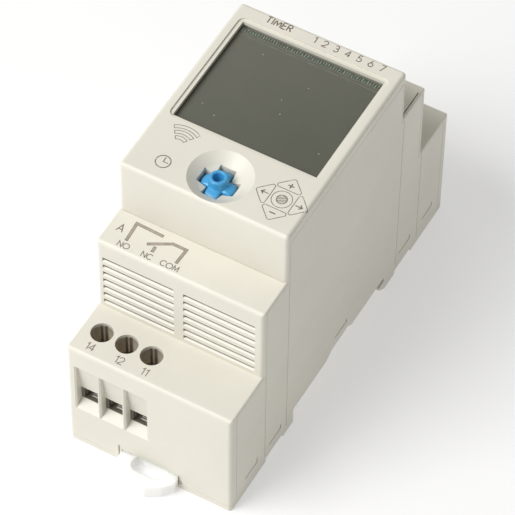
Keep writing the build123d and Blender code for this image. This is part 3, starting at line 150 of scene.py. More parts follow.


class Finish:
    """A material on one Principled shader, with patterns laid out in object space and sized in mm."""

    def __init__(self, name, **constants):
        self.material = bpy.data.materials.new(name)
        self.material.use_nodes = True
        self.tree = self.material.node_tree
        self.shader = self.tree.nodes["Principled BSDF"]
        for socket, value in constants.items():
            self.shader.inputs[socket.replace("_", " ")].default_value = value
        self.coordinates = self.node("ShaderNodeTexCoord").outputs["Object"]
        self.normal = None

    def node(self, kind, settings=None, **inputs):
        """A node with its settings, and its inputs as values or links. Underscores stand for spaces."""
        made = self.tree.nodes.new(kind)
        for key, value in (settings or {}).items():
            setattr(made, key, value)
        for key, value in inputs.items():
            socket = made.inputs[key.replace("_", " ")]
            if isinstance(value, bpy.types.NodeSocket):
                self.tree.links.new(value, socket)
            else:
                socket.default_value = value
        return made

    def place(self, size, stretch=(1, 1, 1), shift=(0, 0, 0)):
        """Object coordinates in which one pattern unit is size mm, stretched along the axes and shifted."""
        scale = [1 / (size * MM * s) for s in stretch]
        return self.node("ShaderNodeMapping", Vector=self.coordinates, Scale=scale, Location=shift).outputs[0]

    def noise(self, size, detail=3.0, rough=0.5, stretch=(1, 1, 1), shift=(0, 0, 0)):
        """Soft noise, its features about size mm wide."""
        place = self.place(size, stretch, shift)
        return self.node("ShaderNodeTexNoise", Vector=place, Scale=1.0, Detail=detail,
                         Roughness=rough).outputs["Fac"]

    def cells(self, size, feature="F1", stretch=(1, 1, 1)):
        """Distance within scattered cells about size mm wide."""
        place = self.place(size, stretch)
        made = self.node("ShaderNodeTexVoronoi", {"feature": feature}, Vector=place, Scale=1.0)
        return made.outputs["Distance"]

    def bands(self, size, axis="X", wobble=0.0):
        """Even stripes across an axis, size mm from one to the next."""
        made = self.node("ShaderNodeTexWave", {"wave_type": "BANDS", "bands_direction": axis},
                         Vector=self.place(size), Scale=WAVE_SCALE, Distortion=wobble)
        return made.outputs["Fac"]

    def along(self, axis):
        """Position along an axis, in metres."""
        return self.node("ShaderNodeSeparateXYZ", Vector=self.coordinates).outputs[axis]

    def spread(self, value, low, high, start=0.0, end=1.0):
        """The stretch from start to end of a value, mapped to low to high and clamped."""
        made = self.node("ShaderNodeMapRange", Value=value)
        for socket, number in (("From Min", start), ("From Max", end), ("To Min", low), ("To Max", high)):
            made.inputs[socket].default_value = number
        return made.outputs["Result"]

    def math(self, operation, a, b=0.5):
        """A sum, product or the like of two numbers or sockets."""
        made = self.node("ShaderNodeMath", {"operation": operation})
        for socket, value in zip(made.inputs, (a, b)):
            if isinstance(value, bpy.types.NodeSocket):
                self.tree.links.new(value, socket)
            else:
                socket.default_value = value
        return made.outputs[0]

    def mix(self, share, first, second):
        """First and second colours or colour sockets, mixed by share."""
        made = self.node("ShaderNodeMix", {"data_type": "RGBA"})
        first_end, second_end = (made.inputs[i] for i in MIX_COLOURS)
        for socket, value in ((made.inputs["Factor"], share), (first_end, first), (second_end, second)):
            if isinstance(value, bpy.types.NodeSocket):
                self.tree.links.new(value, socket)
            else:
                socket.default_value = value if isinstance(value, float) else (*value, 1)
        return made.outputs[MIX_RESULT]

    def tones(self, value, *stops):
        """A colour ramp with (position, colour) stops."""
        ramp = self.node("ShaderNodeValToRGB", Fac=value)
        elements = ramp.color_ramp.elements
        while len(elements) < len(stops):
            elements.new(0.5)
        for element, (position, colour) in zip(elements, stops):
            element.position, element.color = position, (*colour, 1)
        return ramp.outputs["Color"]

    def colour(self, socket):
        self.tree.links.new(socket, self.shader.inputs["Base Color"])

    def roughness(self, socket):
        self.tree.links.new(socket, self.shader.inputs["Roughness"])

    def bump(self, height, depth, strength=1.0):
        """Relief depth mm high, added to the relief so far."""
        made = self.node("ShaderNodeBump", Height=height, Distance=depth * MM, Strength=strength)
        if self.normal is not None:
            self.tree.links.new(self.normal, made.inputs["Normal"])
        self.normal = made.outputs["Normal"]
        self.tree.links.new(self.normal, self.shader.inputs["Normal"])

    def edges(self, radius):
        """1 along sharp edges and corners, 0 on flat faces."""
        soft = self.node("ShaderNodeBevel", {"samples": BEVEL_SAMPLES}, Radius=radius * MM).outputs["Normal"]
        true = self.node("ShaderNodeNewGeometry").outputs["Normal"]
        same = self.node("ShaderNodeVectorMath", {"operation": "DOT_PRODUCT"})
        self.tree.links.new(soft, same.inputs[0])
        self.tree.links.new(true, same.inputs[1])
        return self.spread(same.outputs["Value"], 1.0, 0.0, *EDGE_TURN)


def shade(colour, factor):
    """A colour made lighter or darker."""
    return tuple(min(1.0, c * factor) for c in colour)


def moulded(name, colour, rough=0.45, grain=0.16, depth=0.004, edge_wear_and_highlight=0.06, **constants):
    """Moulded plastic: fine spark-eroded grain, slow colour drift, edges rubbed smooth and made lighter as
    part wear and part painted highlight, and faint handling marks.
    """
    finish = Finish(name, **constants)
    drift = finish.noise(14, detail=2)
    speckle = finish.noise(0.35, detail=2, shift=(7, 3, 1))
    base = finish.tones(drift, (0.3, shade(colour, 0.975)), (0.7, shade(colour, 1.02)))
    base = finish.mix(finish.spread(speckle, 0.0, 0.35, 0.6, 0.8), base, shade(colour, 0.93))
    # Edges lighter: part wear, part painted highlight along the rounded edges.
    edge_wear_and_highlight_mask = finish.edges(0.5)
    base = finish.mix(finish.math("MULTIPLY", edge_wear_and_highlight_mask, edge_wear_and_highlight), base, shade(colour, 1.12))
    finish.colour(base)
    marks = finish.noise(3.5, detail=4, stretch=(1, 3, 1), shift=(2, 9, 4))
    handled = finish.spread(marks, rough - 0.05, rough + 0.06, 0.3, 0.7)
    finish.roughness(finish.math("SUBTRACT", handled, finish.math("MULTIPLY", edge_wear_and_highlight_mask, 0.08)))
    finish.bump(finish.noise(grain, detail=2), depth)
    finish.bump(finish.noise(9, detail=1, shift=(5, 5, 5)), 0.02, 0.4)
    return finish


def plated(name, colour, rough=0.3, stretch=(1, 12, 1), **constants):
    """Drawn or plated metal with faint stains, and fine lines along the axis that stretch is largest on."""
    finish = Finish(name, Metallic=1.0, **constants)
    lines = finish.noise(0.12, detail=3, stretch=stretch)
    stains = finish.noise(2.4, detail=3, shift=(3, 1, 8))
    base = finish.tones(stains, (0.35, shade(colour, 0.86)), (0.65, colour))
    # Edges lighter: part wear, part painted highlight.
    finish.colour(finish.mix(finish.math("MULTIPLY", finish.edges(0.2), 0.35), base, shade(colour, 1.25)))
    finish.roughness(finish.spread(lines, rough - 0.08, rough + 0.14, 0.3, 0.7))
    finish.bump(lines, 0.004)
    return finish


IVORY = (0.720, 0.695, 0.612)


def housing_ivory():
    return moulded("housing_ivory", IVORY, rough=0.44, grain=0.15, depth=0.005)


def clip_nylon():
    finish = moulded("clip_nylon", (0.92, 0.915, 0.885), rough=0.36, depth=0.003, Subsurface_Weight=0.8,
                     Subsurface_Scale=0.003)
    finish.shader.inputs["Subsurface Radius"].default_value = (1.0, 0.95, 0.85)
    return finish


def window_clear():
    """Clear lens, thin enough that it only veils what lies behind it, with faint wipe marks."""
    finish = Finish("window_clear", Alpha=0.16, IOR=1.49)
    wipes = finish.noise(9, detail=2, stretch=(3, 1, 1))
    finish.colour(finish.tones(wipes, (0.3, (0.145, 0.15, 0.12)), (0.7, (0.18, 0.185, 0.15))))
    finish.roughness(finish.spread(wipes, 0.04, 0.09, 0.4, 0.8))
    finish.bump(finish.noise(14, detail=0), 0.004, 0.2)
    return finish


def lcd_glass():
    """Unlit display: grey green glass with a painted reflection that makes it lighter towards its far left
    corner, and dust specks.
    """
    finish = Finish("lcd_glass", IOR=1.52)
    low, high = lcd_low, lcd_high
    # Painted reflection: a colour gradient, lighter towards the far left corner.
    across = finish.spread(finish.along("X"), 0.0, 1.0, low.x, high.x)
    up = finish.spread(finish.along("Y"), 0.0, 1.0, low.y, high.y)
    painted_reflection = finish.math("ADD", finish.math("MULTIPLY", across, -0.5), finish.math("MULTIPLY", up, 0.5))
    drift = finish.math("ADD", painted_reflection, finish.math("MULTIPLY", finish.noise(11, detail=2), 0.3))
    glass_and_painted_reflection = finish.tones(finish.spread(drift, 0.0, 1.0, -0.35, 0.65), (0.0, (0.083, 0.086, 0.061)),
                        (1.0, (0.168, 0.168, 0.132)))
    dust = finish.cells(3.4)
    finish.colour(finish.mix(finish.spread(dust, 0.8, 0.0, 0.03, 0.045), glass_and_painted_reflection, (0.80, 0.82, 0.74)))
    finish.roughness(finish.spread(finish.noise(4, detail=3), 0.16, 0.24))
    finish.bump(finish.noise(12, detail=1), 0.002, 0.3)
    return finish


def frame_white():
    return moulded("frame_white", (0.82, 0.82, 0.79), rough=0.4)


def diffuser_white():
    return moulded("diffuser_white", (0.86, 0.88, 0.85), rough=0.3, grain=0.5, Subsurface_Weight=0.3,
                   Subsurface_Scale=0.001)


def connector_rubber():
    """Silicone strip with its fine conducting layers."""
    finish = Finish("connector_rubber")
    layers = finish.bands(0.18, "X")
    finish.colour(finish.tones(layers, (0.35, (0.03, 0.03, 0.035)), (0.6, (0.35, 0.36, 0.38))))
    finish.roughness(finish.spread(finish.noise(0.6), 0.55, 0.75))
    finish.bump(layers, 0.01)
    return finish


def circuit_board():
    """Green solder mask over tracks that show as a faint relief."""
    finish = Finish("circuit_board", Coat_Weight=0.3, Coat_Roughness=0.15)
    tracks = finish.cells(2.6, feature="DISTANCE_TO_EDGE", stretch=(1, 1, 4))
    line = finish.spread(tracks, 1.0, 0.0, 0.06, 0.09)
    mask = finish.tones(finish.noise(6, detail=3), (0.3, (0.012, 0.085, 0.035)), (0.7, (0.018, 0.12, 0.05)))
    finish.colour(finish.mix(line, mask, (0.035, 0.20, 0.08)))
    finish.roughness(finish.spread(finish.noise(1.5), 0.28, 0.42))
    finish.bump(line, 0.03)
    return finish


def copper_foil():
    return plated("copper_foil", (0.72, 0.38, 0.20), rough=0.34)


def chip_black():
    return moulded("chip_black", (0.028, 0.028, 0.031), rough=0.55, grain=0.1, edge_wear_and_highlight=0.3)


def can_steel():
    return plated("can_steel", (0.62, 0.62, 0.61), rough=0.3, stretch=(10, 1, 1))


def battery_steel():
    return plated("battery_steel", (0.66, 0.66, 0.64), rough=0.22, stretch=(1, 1, 1))


def spring_steel():
    return plated("spring_steel", (0.60, 0.59, 0.57), rough=0.28)


def switch_black():
    return moulded("switch_black", (0.035, 0.035, 0.038), rough=0.5, edge_wear_and_highlight=0.3)


JOYSTICK_BLUE = (0.055, 0.345, 0.65)


def joystick_blue():
    """Satin blue plastic, a little light coming through its thin rim."""
    finish = moulded("joystick_blue", JOYSTICK_BLUE, rough=0.36, grain=0.12, depth=0.002, edge_wear_and_highlight=0.25,
                     Subsurface_Weight=0.15, Subsurface_Scale=0.0006, Coat_Weight=0.3, Coat_Roughness=0.35)
    finish.shader.inputs["Subsurface Radius"].default_value = (0.3, 0.6, 1.0)
    return finish


def plunger_white():
    return moulded("plunger_white", (0.78, 0.78, 0.76), rough=0.45)


def pin_gold():
    return plated("pin_gold", (0.83, 0.62, 0.28), rough=0.24, stretch=(1, 1, 10))


def relay_plastic():
    return moulded("relay_plastic", (0.04, 0.045, 0.05), rough=0.5, edge_wear_and_highlight=0.25)


def relay_cover():
    return moulded("relay_cover", (0.05, 0.055, 0.065), rough=0.3, grain=0.3, depth=0.002, edge_wear_and_highlight=0.25)


def bobbin_plastic():
    return moulded("bobbin_plastic", (0.52, 0.43, 0.27), rough=0.5, grain=0.3, depth=0.01)


def copper_winding():
    """Layers of enamelled wire, side by side along the coil."""
    finish = Finish("copper_winding", Metallic=0.85, Coat_Weight=0.5, Coat_Roughness=0.2)
    turns = finish.bands(0.14, "Y", wobble=0.3)
    finish.colour(finish.tones(turns, (0.2, (0.20, 0.055, 0.018)), (0.8, (0.62, 0.24, 0.09))))
    finish.roughness(finish.spread(finish.noise(0.8), 0.28, 0.42))
    finish.bump(turns, 0.05)
    return finish


def relay_iron():
    return plated("relay_iron", (0.52, 0.52, 0.51), rough=0.36)


def contact_metal():
    return plated("contact_metal", (0.74, 0.56, 0.34), rough=0.3, stretch=(1, 8, 1))


STRIPE_EDGE = (0.0095, 0.0097)   # where the polarity stripe starts, in metres across the modules


def capacitor_sleeve():
    """Shrink sleeve with a pale polarity stripe."""
    finish = Finish("capacitor_sleeve", Coat_Weight=0.4, Coat_Roughness=0.12)
    wrinkles = finish.noise(1.6, detail=3, stretch=(1, 1, 5))
    sleeve = finish.tones(wrinkles, (0.3, (0.014, 0.018, 0.045)), (0.7, (0.024, 0.030, 0.070)))
    stripe = finish.spread(finish.along("X"), 0.0, 1.0, *STRIPE_EDGE)
    finish.colour(finish.mix(stripe, sleeve, (0.55, 0.56, 0.58)))
    finish.roughness(finish.spread(wrinkles, 0.25, 0.4))
    finish.bump(wrinkles, 0.02)
    return finish


def film_box():
    return moulded("film_box", (0.60, 0.42, 0.04), rough=0.32, grain=0.3)


def varistor_coat():
    """Dipped coating with an orange-peel skin."""
    return moulded("varistor_coat", (0.03, 0.10, 0.42), rough=0.3, grain=0.6, depth=0.02)


def ferrite():
    return moulded("ferrite", (0.055, 0.055, 0.06), rough=0.6, grain=0.25, depth=0.02, edge_wear_and_highlight=0.4)


# Share of the resistor's length at each colour band, and the band's colour
RESISTOR_BANDS = ((0.30, (0.22, 0.05, 0.02)), (0.42, (0.01, 0.01, 0.01)), (0.54, (0.30, 0.12, 0.01)),
                  (0.70, (0.55, 0.38, 0.08)))
BAND_EDGE = (0.25 * MM, 0.3 * MM)


def resistor_coat():
    """Lacquered body with four colour bands."""
    finish = Finish("resistor_coat", Coat_Weight=0.5, Coat_Roughness=0.1)
    low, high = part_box("fuse_resistor")
    base = finish.tones(finish.noise(1.0), (0.3, (0.16, 0.30, 0.26)), (0.7, (0.20, 0.36, 0.31)))
    y = finish.along("Y")
    for share, colour in RESISTOR_BANDS:
        middle = low.y + share * (high.y - low.y)
        off = finish.math("ABSOLUTE", finish.math("SUBTRACT", y, middle))
        base = finish.mix(finish.spread(off, 1.0, 0.0, *BAND_EDGE), base, colour)
    finish.colour(base)
    finish.roughness(finish.spread(finish.noise(0.8), 0.2, 0.35))
    finish.bump(finish.noise(0.7), 0.01)
    return finish


def led_lens():
    """Phosphor gel in a white package."""
    finish = Finish("led_lens", Coat_Weight=0.4, Coat_Roughness=0.1)
    finish.colour(finish.tones(finish.noise(0.5), (0.3, (0.78, 0.66, 0.12)), (0.7, (0.86, 0.78, 0.30))))
    finish.roughness(finish.spread(finish.noise(0.3), 0.25, 0.45))
    finish.bump(finish.noise(0.3), 0.01)
    return finish


def terminal_steel():
    return plated("terminal_steel", (0.60, 0.59, 0.56), rough=0.34)


def blade_brass():
    return plated("blade_brass", (0.74, 0.60, 0.36), rough=0.3)


NODE_FINISHES = (
    housing_ivory, clip_nylon, window_clear, lcd_glass, frame_white, diffuser_white,
    connector_rubber, circuit_board, copper_foil, chip_black, can_steel, battery_steel,
    spring_steel, switch_black, joystick_blue, plunger_white, pin_gold, relay_plastic,
    relay_cover, bobbin_plastic, copper_winding, relay_iron, contact_metal,
    capacitor_sleeve, film_box, varistor_coat, ferrite, resistor_coat, led_lens,
    terminal_steel, blade_brass,
)
FINISHES = {make.__name__: make().material for make in NODE_FINISHES}


def dress_nodes():
    """Gives each CAD node the finish of its material slot in the record."""
    for part in frame["record"]["subparts"]:
        for slot in frame["nodes"][part["node"]].material_slots:
            slot.material = FINISHES[part["material_slot"]]


# ---------------------------------------------------------------- mesh helpers
def add_piece(name, mesh, material, body="housing"):
    """A new piece made of a bmesh in the row frame, riding on a body."""
    data = bpy.data.meshes.new(name)
    bmesh.ops.recalc_face_normals(mesh, faces=mesh.faces)
    mesh.to_mesh(data)
    mesh.free()
    data.materials.append(material)
    piece = bpy.data.objects.new(name, data)
    bpy.context.scene.collection.objects.link(piece)
    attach(piece, body)
    return piece


def make_floor():
    """Grey paper that glows, so that it reads as near white and its shadows stay light."""
    mesh = bmesh.new()
    bmesh.ops.create_grid(mesh, x_segments=FLOOR_CELLS, y_segments=FLOOR_CELLS, size=FLOOR_SIZE / 2)
    bmesh.ops.translate(mesh, verts=mesh.verts, vec=(0, 0, cad_low.z - FLOOR_GAP))
    data = bpy.data.meshes.new("floor")
    mesh.to_mesh(data)
    mesh.free()
    finish = Finish("floor_paper", Roughness=0.9, Emission_Color=(1, 1, 1, 1),
                    Emission_Strength=FLOOR_GLOW)
    dark, light = ((grey, grey, grey) for grey in FLOOR_GREYS)
    finish.colour(finish.tones(finish.noise(60), (0.3, dark), (0.7, light)))
    data.materials.append(finish.material)
    floor = bpy.data.objects.new("floor", data)
    bpy.context.scene.collection.objects.link(floor)


# ---------------------------------------------------------------- strokes of print
def arc(x, y, radius, start, end, steps=14):
    """Points along a circular arc, its angles in degrees."""
    angles = [math.radians(start + (end - start) * i / steps) for i in range(steps + 1)]
    return [(x + radius * math.cos(a), y + radius * math.sin(a)) for a in angles]


def rounded(corners, radius, steps=5):
    """A closed outline with its corners rounded."""
    points = []
    for i, corner in enumerate(corners):
        here = Vector(corner)
        to_last = (Vector(corners[i - 1]) - here).normalized()
        to_next = (Vector(corners[(i + 1) % len(corners)]) - here).normalized()
        half = to_last.angle(to_next) / 2
        start, end = (here + way * radius / math.tan(half) for way in (to_last, to_next))
        middle = here + (to_last + to_next).normalized() * radius / math.sin(half)
        for step in range(steps + 1):
            spoke = (start - middle).lerp(end - middle, step / steps).normalized() * radius
            points.append(tuple(middle + spoke))
    return points


LEAST_MITRE = 0.4                # keeps the mitre of a sharp corner short


def border(points, width, closed):
    """Left and right edges of a stroke along points, mitred at its corners."""
    count = len(points)
    sides = []
    for i in range(count):
        here = Vector(points[i])
        ahead = Vector(points[(i + 1) % count]) - here if closed or i < count - 1 else None
        behind = here - Vector(points[i - 1]) if closed or i > 0 else None
        ways = [way.normalized() for way in (behind, ahead) if way is not None]
        along = sum(ways, Vector((0, 0))).normalized()
        across = Vector((-along.y, along.x))
        half = width / 2 / max(LEAST_MITRE, along.dot(ways[0]))
        sides.append((here + across * half, here - across * half))
    return sides


def moved(strokes, x, y, turn=0.0):
    """Strokes turned by an angle in degrees and moved."""
    cos, sin = math.cos(math.radians(turn)), math.sin(math.radians(turn))
    return [([(x + cos * px - sin * py, y + sin * px + cos * py) for px, py in points], width, closed)
            for points, width, closed in strokes]


CIRCLE = (0, 360)
GLYPHS = {  # each letter's width, and its strokes of unit height
    "1": (0.3, [[(0.05, 0.78), (0.3, 1), (0.3, 0)]]),
    "2": (0.6, [arc(0.3, 0.7, 0.3, 170, -40) + [(0, 0), (0.6, 0)]]),
    "3": (0.6, [arc(0.28, 0.75, 0.25, 150, -90) + arc(0.28, 0.27, 0.29, 80, -150)]),
    "4": (0.6, [[(0.45, 0), (0.45, 1), (0, 0.28), (0.6, 0.28)]]),
    "5": (0.6, [[(0.52, 1), (0.12, 1), (0.08, 0.55)] + arc(0.28, 0.31, 0.31, 120, -150)]),
    "6": (0.6, [[(0.42, 1), (0.06, 0.46)] + arc(0.3, 0.3, 0.3, 150, 480, 20)]),
    "7": (0.6, [[(0, 1), (0.56, 1), (0.16, 0)]]),
    "A": (0.7, [[(0, 0), (0.35, 1), (0.7, 0)], [(0.14, 0.34), (0.56, 0.34)]]),
    "C": (0.8, [arc(0.5, 0.5, 0.5, 48, 312, 20)]),
    "E": (0.5, [[(0.5, 1), (0, 1), (0, 0), (0.5, 0)], [(0, 0.52), (0.44, 0.52)]]),
    "I": (0.1, [[(0.05, 0), (0.05, 1)]]),
    "M": (0.86, [[(0, 0), (0.08, 1), (0.43, 0.2), (0.78, 1), (0.86, 0)]]),
    "N": (0.7, [[(0, 0), (0, 1), (0.7, 0), (0.7, 1)]]),
    "O": (1.0, [arc(0.5, 0.5, 0.5, *CIRCLE, 24)]),
    "R": (0.55, [[(0, 0), (0, 1)] + arc(0.26, 0.75, 0.25, 90, -90) + [(0, 0.5)], [(0.26, 0.5), (0.55, 0)]]),
    "T": (0.6, [[(0, 1), (0.6, 1)], [(0.3, 1), (0.3, 0)]]),
}
LETTER_GAP = 0.2


def lettering(text, x, y, height, width, gap=LETTER_GAP):
    """Strokes of a word centred on x, y, in millimetres, its gap a share of its height."""
    total = sum(GLYPHS[letter][0] for letter in text) + gap * (len(text) - 1)
    cursor, strokes = -total / 2, []
    for letter in text:
        advance, lines = GLYPHS[letter]
        for line in lines:
            points = [(x + (cursor + px) * height, y + (py - 0.5) * height) for px, py in line]
            strokes.append((points, width, False))
        cursor += advance + gap
    return strokes


def outlined(points, width, line):
    """The edge of a wide stroke as a thin closed stroke."""
    sides = border(points, width, False)
    edge = [tuple(left) for left, _ in sides] + [tuple(right) for _, right in reversed(sides)]
    return edge, line, True


INK_LIFT, OVERPRINT_LIFT, INK_THICKNESS, INK_STEP = 0.004, 0.012, 0.014, 0.4


def divided(points, closed):
    """The points with others between them, so that no run is longer than INK_STEP."""
    ends = points[1:] + points[:1] if closed else points[1:]
    divided_points = []
    for start, end in zip(points, ends):
        start, end = Vector(start), Vector(end)
        count = math.ceil((end - start).length / INK_STEP)
        divided_points += [start.lerp(end, i / count) for i in range(count)]
    return divided_points if closed else divided_points + [Vector(points[-1])]


def add_print(name, strokes, node, material, lift=INK_LIFT):
    """Strokes, in millimetres, as one thin film of ink that lies on the upper surface of a CAD node."""
    mesh = bmesh.new()
    for points, width, closed in strokes:
        rows = []
        for pair in border(divided(points, closed), width, closed):
            places = [(px * MM, py * MM) for px, py in pair]
            rows.append([mesh.verts.new((x, y, surface_z(x, y, node) + lift * MM)) for x, y in places])
        for i in range(len(rows) if closed else len(rows) - 1):
            (a, b), (c, d) = rows[i], rows[(i + 1) % len(rows)]
            mesh.faces.new((a, b, d, c))
    piece = add_piece(name, mesh, material)
    if piece.data.polygons[0].normal.z < 0:
        piece.data.flip_normals()
    film = piece.modifiers.new("film", "SOLIDIFY")
    film.thickness, film.offset = INK_THICKNESS * MM, 1.0


def ink(name, colour, worn):
    """Thin pad-printed ink: uneven cover, with the plastic showing through where it is worn."""
    finish = Finish(name)
    cover = finish.noise(0.45, detail=4, rough=0.65)
    body = finish.tones(finish.noise(1.6), (0.3, shade(colour, 0.85)), (0.7, shade(colour, 1.12)))
    finish.colour(finish.mix(finish.spread(cover, 0.0, 0.75, worn, worn + 0.14), body, IVORY))
    finish.roughness(finish.spread(cover, 0.5, 0.65))
    finish.bump(cover, 0.003)
    return finish.material


# ---------------------------------------------------------------- printed marks
# Places on the front and shoulders, in millimetres
CLOCK, WAVES, FOUR_WAYS = (-10.7, -18.1), (-10.6, -13.7), (12.13, -15.14)
WAVE_RADII, WAVE_ARC = (1.9, 3.2, 4.5), (56, 124)
HUB_RADIUS, HUB_LINES, HUB_TURN = 0.9, (-0.54, -0.18, 0.18, 0.54), 32
WORD, WEEKDAYS, WEEKDAY_GAP = (-8.6, 21.15), (6.2, 21.05), 1.0
DIAGRAM = (
    [(-12.73, -28.25), (-12.98, -23.9), (-7.3, -24.1)],
    [(-7.3, -28.2), (-7.35, -26.9)],
    [(-9.0, -27.06), (-4.92, -24.74), (-2.08, -24.75), (-2.22, -28.3)],
)
COIL_LETTER = (-15.0, -26.2)
CONTACT_NAMES, CONTACT_NAMES_Y = (("NO", -12.56), ("NC", -7.7), ("COM", -2.95)), -29.4
TERMINAL_NUMBERS = (("near", -40.3, (("14", -13.65), ("12", -7.44), ("11", -2.1))),
                    ("far", 40.3, (("A1", -13.4), ("A2", -8.1))))
# Height of each kind of lettering, and the width of its strokes
WORD_TYPE, WEEKDAY_TYPE = (1.55, 0.26), (1.5, 0.2)
COIL_TYPE, CONTACT_TYPE, NUMBER_TYPE = (1.75, 0.2), (1.2, 0.17), (1.6, 0.18)


def ring(radius, width, steps):
    """A closed circular stroke about the origin."""
    return arc(0, 0, radius, *CIRCLE, steps)[:-1], width, True


def print_marks():
    """All the ink on the front, the near shoulder and the terminals."""
    fine = ink("ink_fine", (0.17, 0.145, 0.115), 0.56)
    bold = ink("ink_bold", (0.36, 0.315, 0.27), 0.62)
    letters = ink("ink_letters", (0.19, 0.155, 0.13), 0.60)

    # Clock, radio waves and the joystick's four ways, on the front
    clock = [ring(1.42, 0.2, 40), ([(0, 1.1), (0, 0), (1.05, 0)], 0.18, False)]
    add_print("print_clock", moved(clock, *CLOCK), "front_cover", fine)
    waves = [outlined(arc(0, 0, radius, *WAVE_ARC, 18), 0.72, 0.13) for radius in WAVE_RADII]
    add_print("print_radio_waves", moved(waves, *WAVES), "front_cover", fine)
    ways = [ring(1.93, 0.13, 48), ring(0.98, 0.2, 32)]
    for shift in HUB_LINES:
        half = math.sqrt(HUB_RADIUS ** 2 - shift ** 2)
        ways += moved([([(-half, shift), (half, shift)], 0.16, False)], 0, 0, HUB_TURN)
    for turn in (0, 90, 180, 270):
        key = rounded([(-3.0, 2.4), (3.0, 2.4), (0, 5.35)], 0.42)
        ways += moved([(key, 0.14, True)], 0, 0, turn)
    ways += [([(-0.58, 3.5), (0.58, 3.5)], 0.26, False), ([(0, 2.92), (0, 4.08)], 0.26, False)]
    ways += [([(-0.62, -3.5), (0.62, -3.5)], 0.26, False)]
    arrow = [([(2.75, 0), (4.1, 0)], 0.2, False), ([(3.62, 0.5), (4.15, 0), (3.62, -0.5)], 0.24, False)]
    ways += moved(arrow, 0, 0) + moved(arrow, 0, 0, 180)
    add_print("print_four_ways", moved(ways, *FOUR_WAYS), "front_cover", fine)

    # A word and the days of the week beyond the display
    add_print("print_word", lettering("TIMER", *WORD, *WORD_TYPE), "front_cover", letters)
    weekdays = lettering("1234567", *WEEKDAYS, *WEEKDAY_TYPE, WEEKDAY_GAP)
    add_print("print_weekdays", weekdays, "front_cover", letters)

    # Contact diagram on the near shoulder
    add_print("print_diagram", [(line, 0.5, False) for line in DIAGRAM], "front_cover", bold)
    edges = [outlined(line, 0.54, 0.09) for line in DIAGRAM]
    add_print("print_diagram_edges", edges, "front_cover", letters, OVERPRINT_LIFT)
    words = lettering("A", *COIL_LETTER, *COIL_TYPE)
    for text, x in CONTACT_NAMES:
        words += lettering(text, x, CONTACT_NAMES_Y, *CONTACT_TYPE)
    add_print("print_contact_names", words, "front_cover", letters)

    # Terminal numbers
    for end, y, marks in TERMINAL_NUMBERS:
        numbers = [stroke for text, x in marks for stroke in lettering(text, x, y, *NUMBER_TYPE)]
        add_print(f"print_{end}_terminals", numbers, f"{end}_terminal_top", letters)


# ---------------------------------------------------------------- display
def box_mesh(low, high, cuts=1, mesh=None):
    """A block between two corners, divided along its longest side, in a mesh of its own or added to one."""
    mesh = mesh or bmesh.new()
    verts = bmesh.ops.create_cube(mesh, size=1.0)["verts"]
    size, middle = high - low, (low + high) / 2
    for vert in verts:
        vert.co = Vector(vert.co[i] * size[i] + middle[i] for i in range(3))
    if cuts > 1:
        longest = max(range(3), key=lambda i: size[i])
        edges = {edge for vert in verts for edge in vert.link_edges}
        rails = [e for e in edges if abs(e.verts[0].co[longest] - e.verts[1].co[longest]) > size[longest] / 2]
        bmesh.ops.subdivide_edges(mesh, edges=rails, cuts=cuts - 1)
    return mesh


def soften(piece, radius):
    """Rounds a piece's edges, its radius in millimetres."""
    bevel = piece.modifiers.new("edge", "BEVEL")
    bevel.width, bevel.segments, bevel.limit_method = radius * MM, 2, "ANGLE"


def contact_strip_finish():
    """Row of fine printed contacts in green and silver."""
    finish = Finish("lcd_contacts")
    teeth = finish.bands(0.55, "X", wobble=1.2)
    row = finish.noise(0.5, detail=3, stretch=(1, 2.0, 1))
    base = finish.tones(teeth, (0.45, (0.008, 0.018, 0.009)), (0.62, (0.40, 0.47, 0.37)))
    finish.colour(finish.mix(finish.spread(row, 0.0, 0.8, 0.45, 0.62), base, (0.04, 0.07, 0.045)))
    finish.roughness(finish.spread(row, 0.25, 0.5))
    finish.bump(row, 0.01)
    return finish.material


def seal_finish():
    """Pale glue line, uneven along its length."""
    finish = Finish("lcd_seal")
    glue = finish.noise(0.7, detail=3)
    finish.colour(finish.tones(glue, (0.3, (0.17, 0.17, 0.145)), (0.7, (0.34, 0.34, 0.29))))
    finish.roughness(finish.spread(finish.noise(0.5), 0.4, 0.6))
    finish.bump(finish.noise(0.4), 0.005)
    return finish.material


STRIP_WIDTH, SEAL_WIDTH, SEAL_INSETS = 0.9, 0.14, (1.15, 1.85)
STRIP_SIDE_INSET, STRIP_FAR_INSET, STRIP_CUTS = 0.5, 0.55, 24
FILM_GAP, FILM_THICKNESS, FILM_EDGE = 0.005, 0.03, 0.01


def make_display():
    """On the glass, a contact strip along the window's far edge and two seal lines before it."""
    z = lcd_high.z + FILM_GAP * MM
    film = FILM_THICKNESS * MM
    left, right = lens_low.x + STRIP_SIDE_INSET * MM, lens_high.x - STRIP_SIDE_INSET * MM
    far = lens_high.y - STRIP_FAR_INSET * MM
    strip = box_mesh(Vector((left, far - STRIP_WIDTH * MM, z)), Vector((right, far, z + film)), STRIP_CUTS)
    soften(add_piece("lcd_contact_strip", strip, contact_strip_finish()), FILM_EDGE)
    seal = seal_finish()
    for number, inset in enumerate(SEAL_INSETS):
        line_y = far - inset * MM
        end = Vector((right, line_y + SEAL_WIDTH * MM, z + film))
        line = box_mesh(Vector((left, line_y, z)), end, STRIP_CUTS)
        soften(add_piece(f"lcd_seal_line_{number}", line, seal), FILM_EDGE)


# ---------------------------------------------------------------- joystick
CAP_SEGMENTS = 96
CAP_HALF_WIDTH, CAP_PLATE = 1.38, 1.1
CAP_EYE, CAP_NECK = 0.5, 1.93    # radius of the underside's inmost ring, and where the arms leave the stub
CAP_SADDLE, CAP_REACH = 0.25, 1.2    # share of the rise between two arms, and how far out it grows by 1
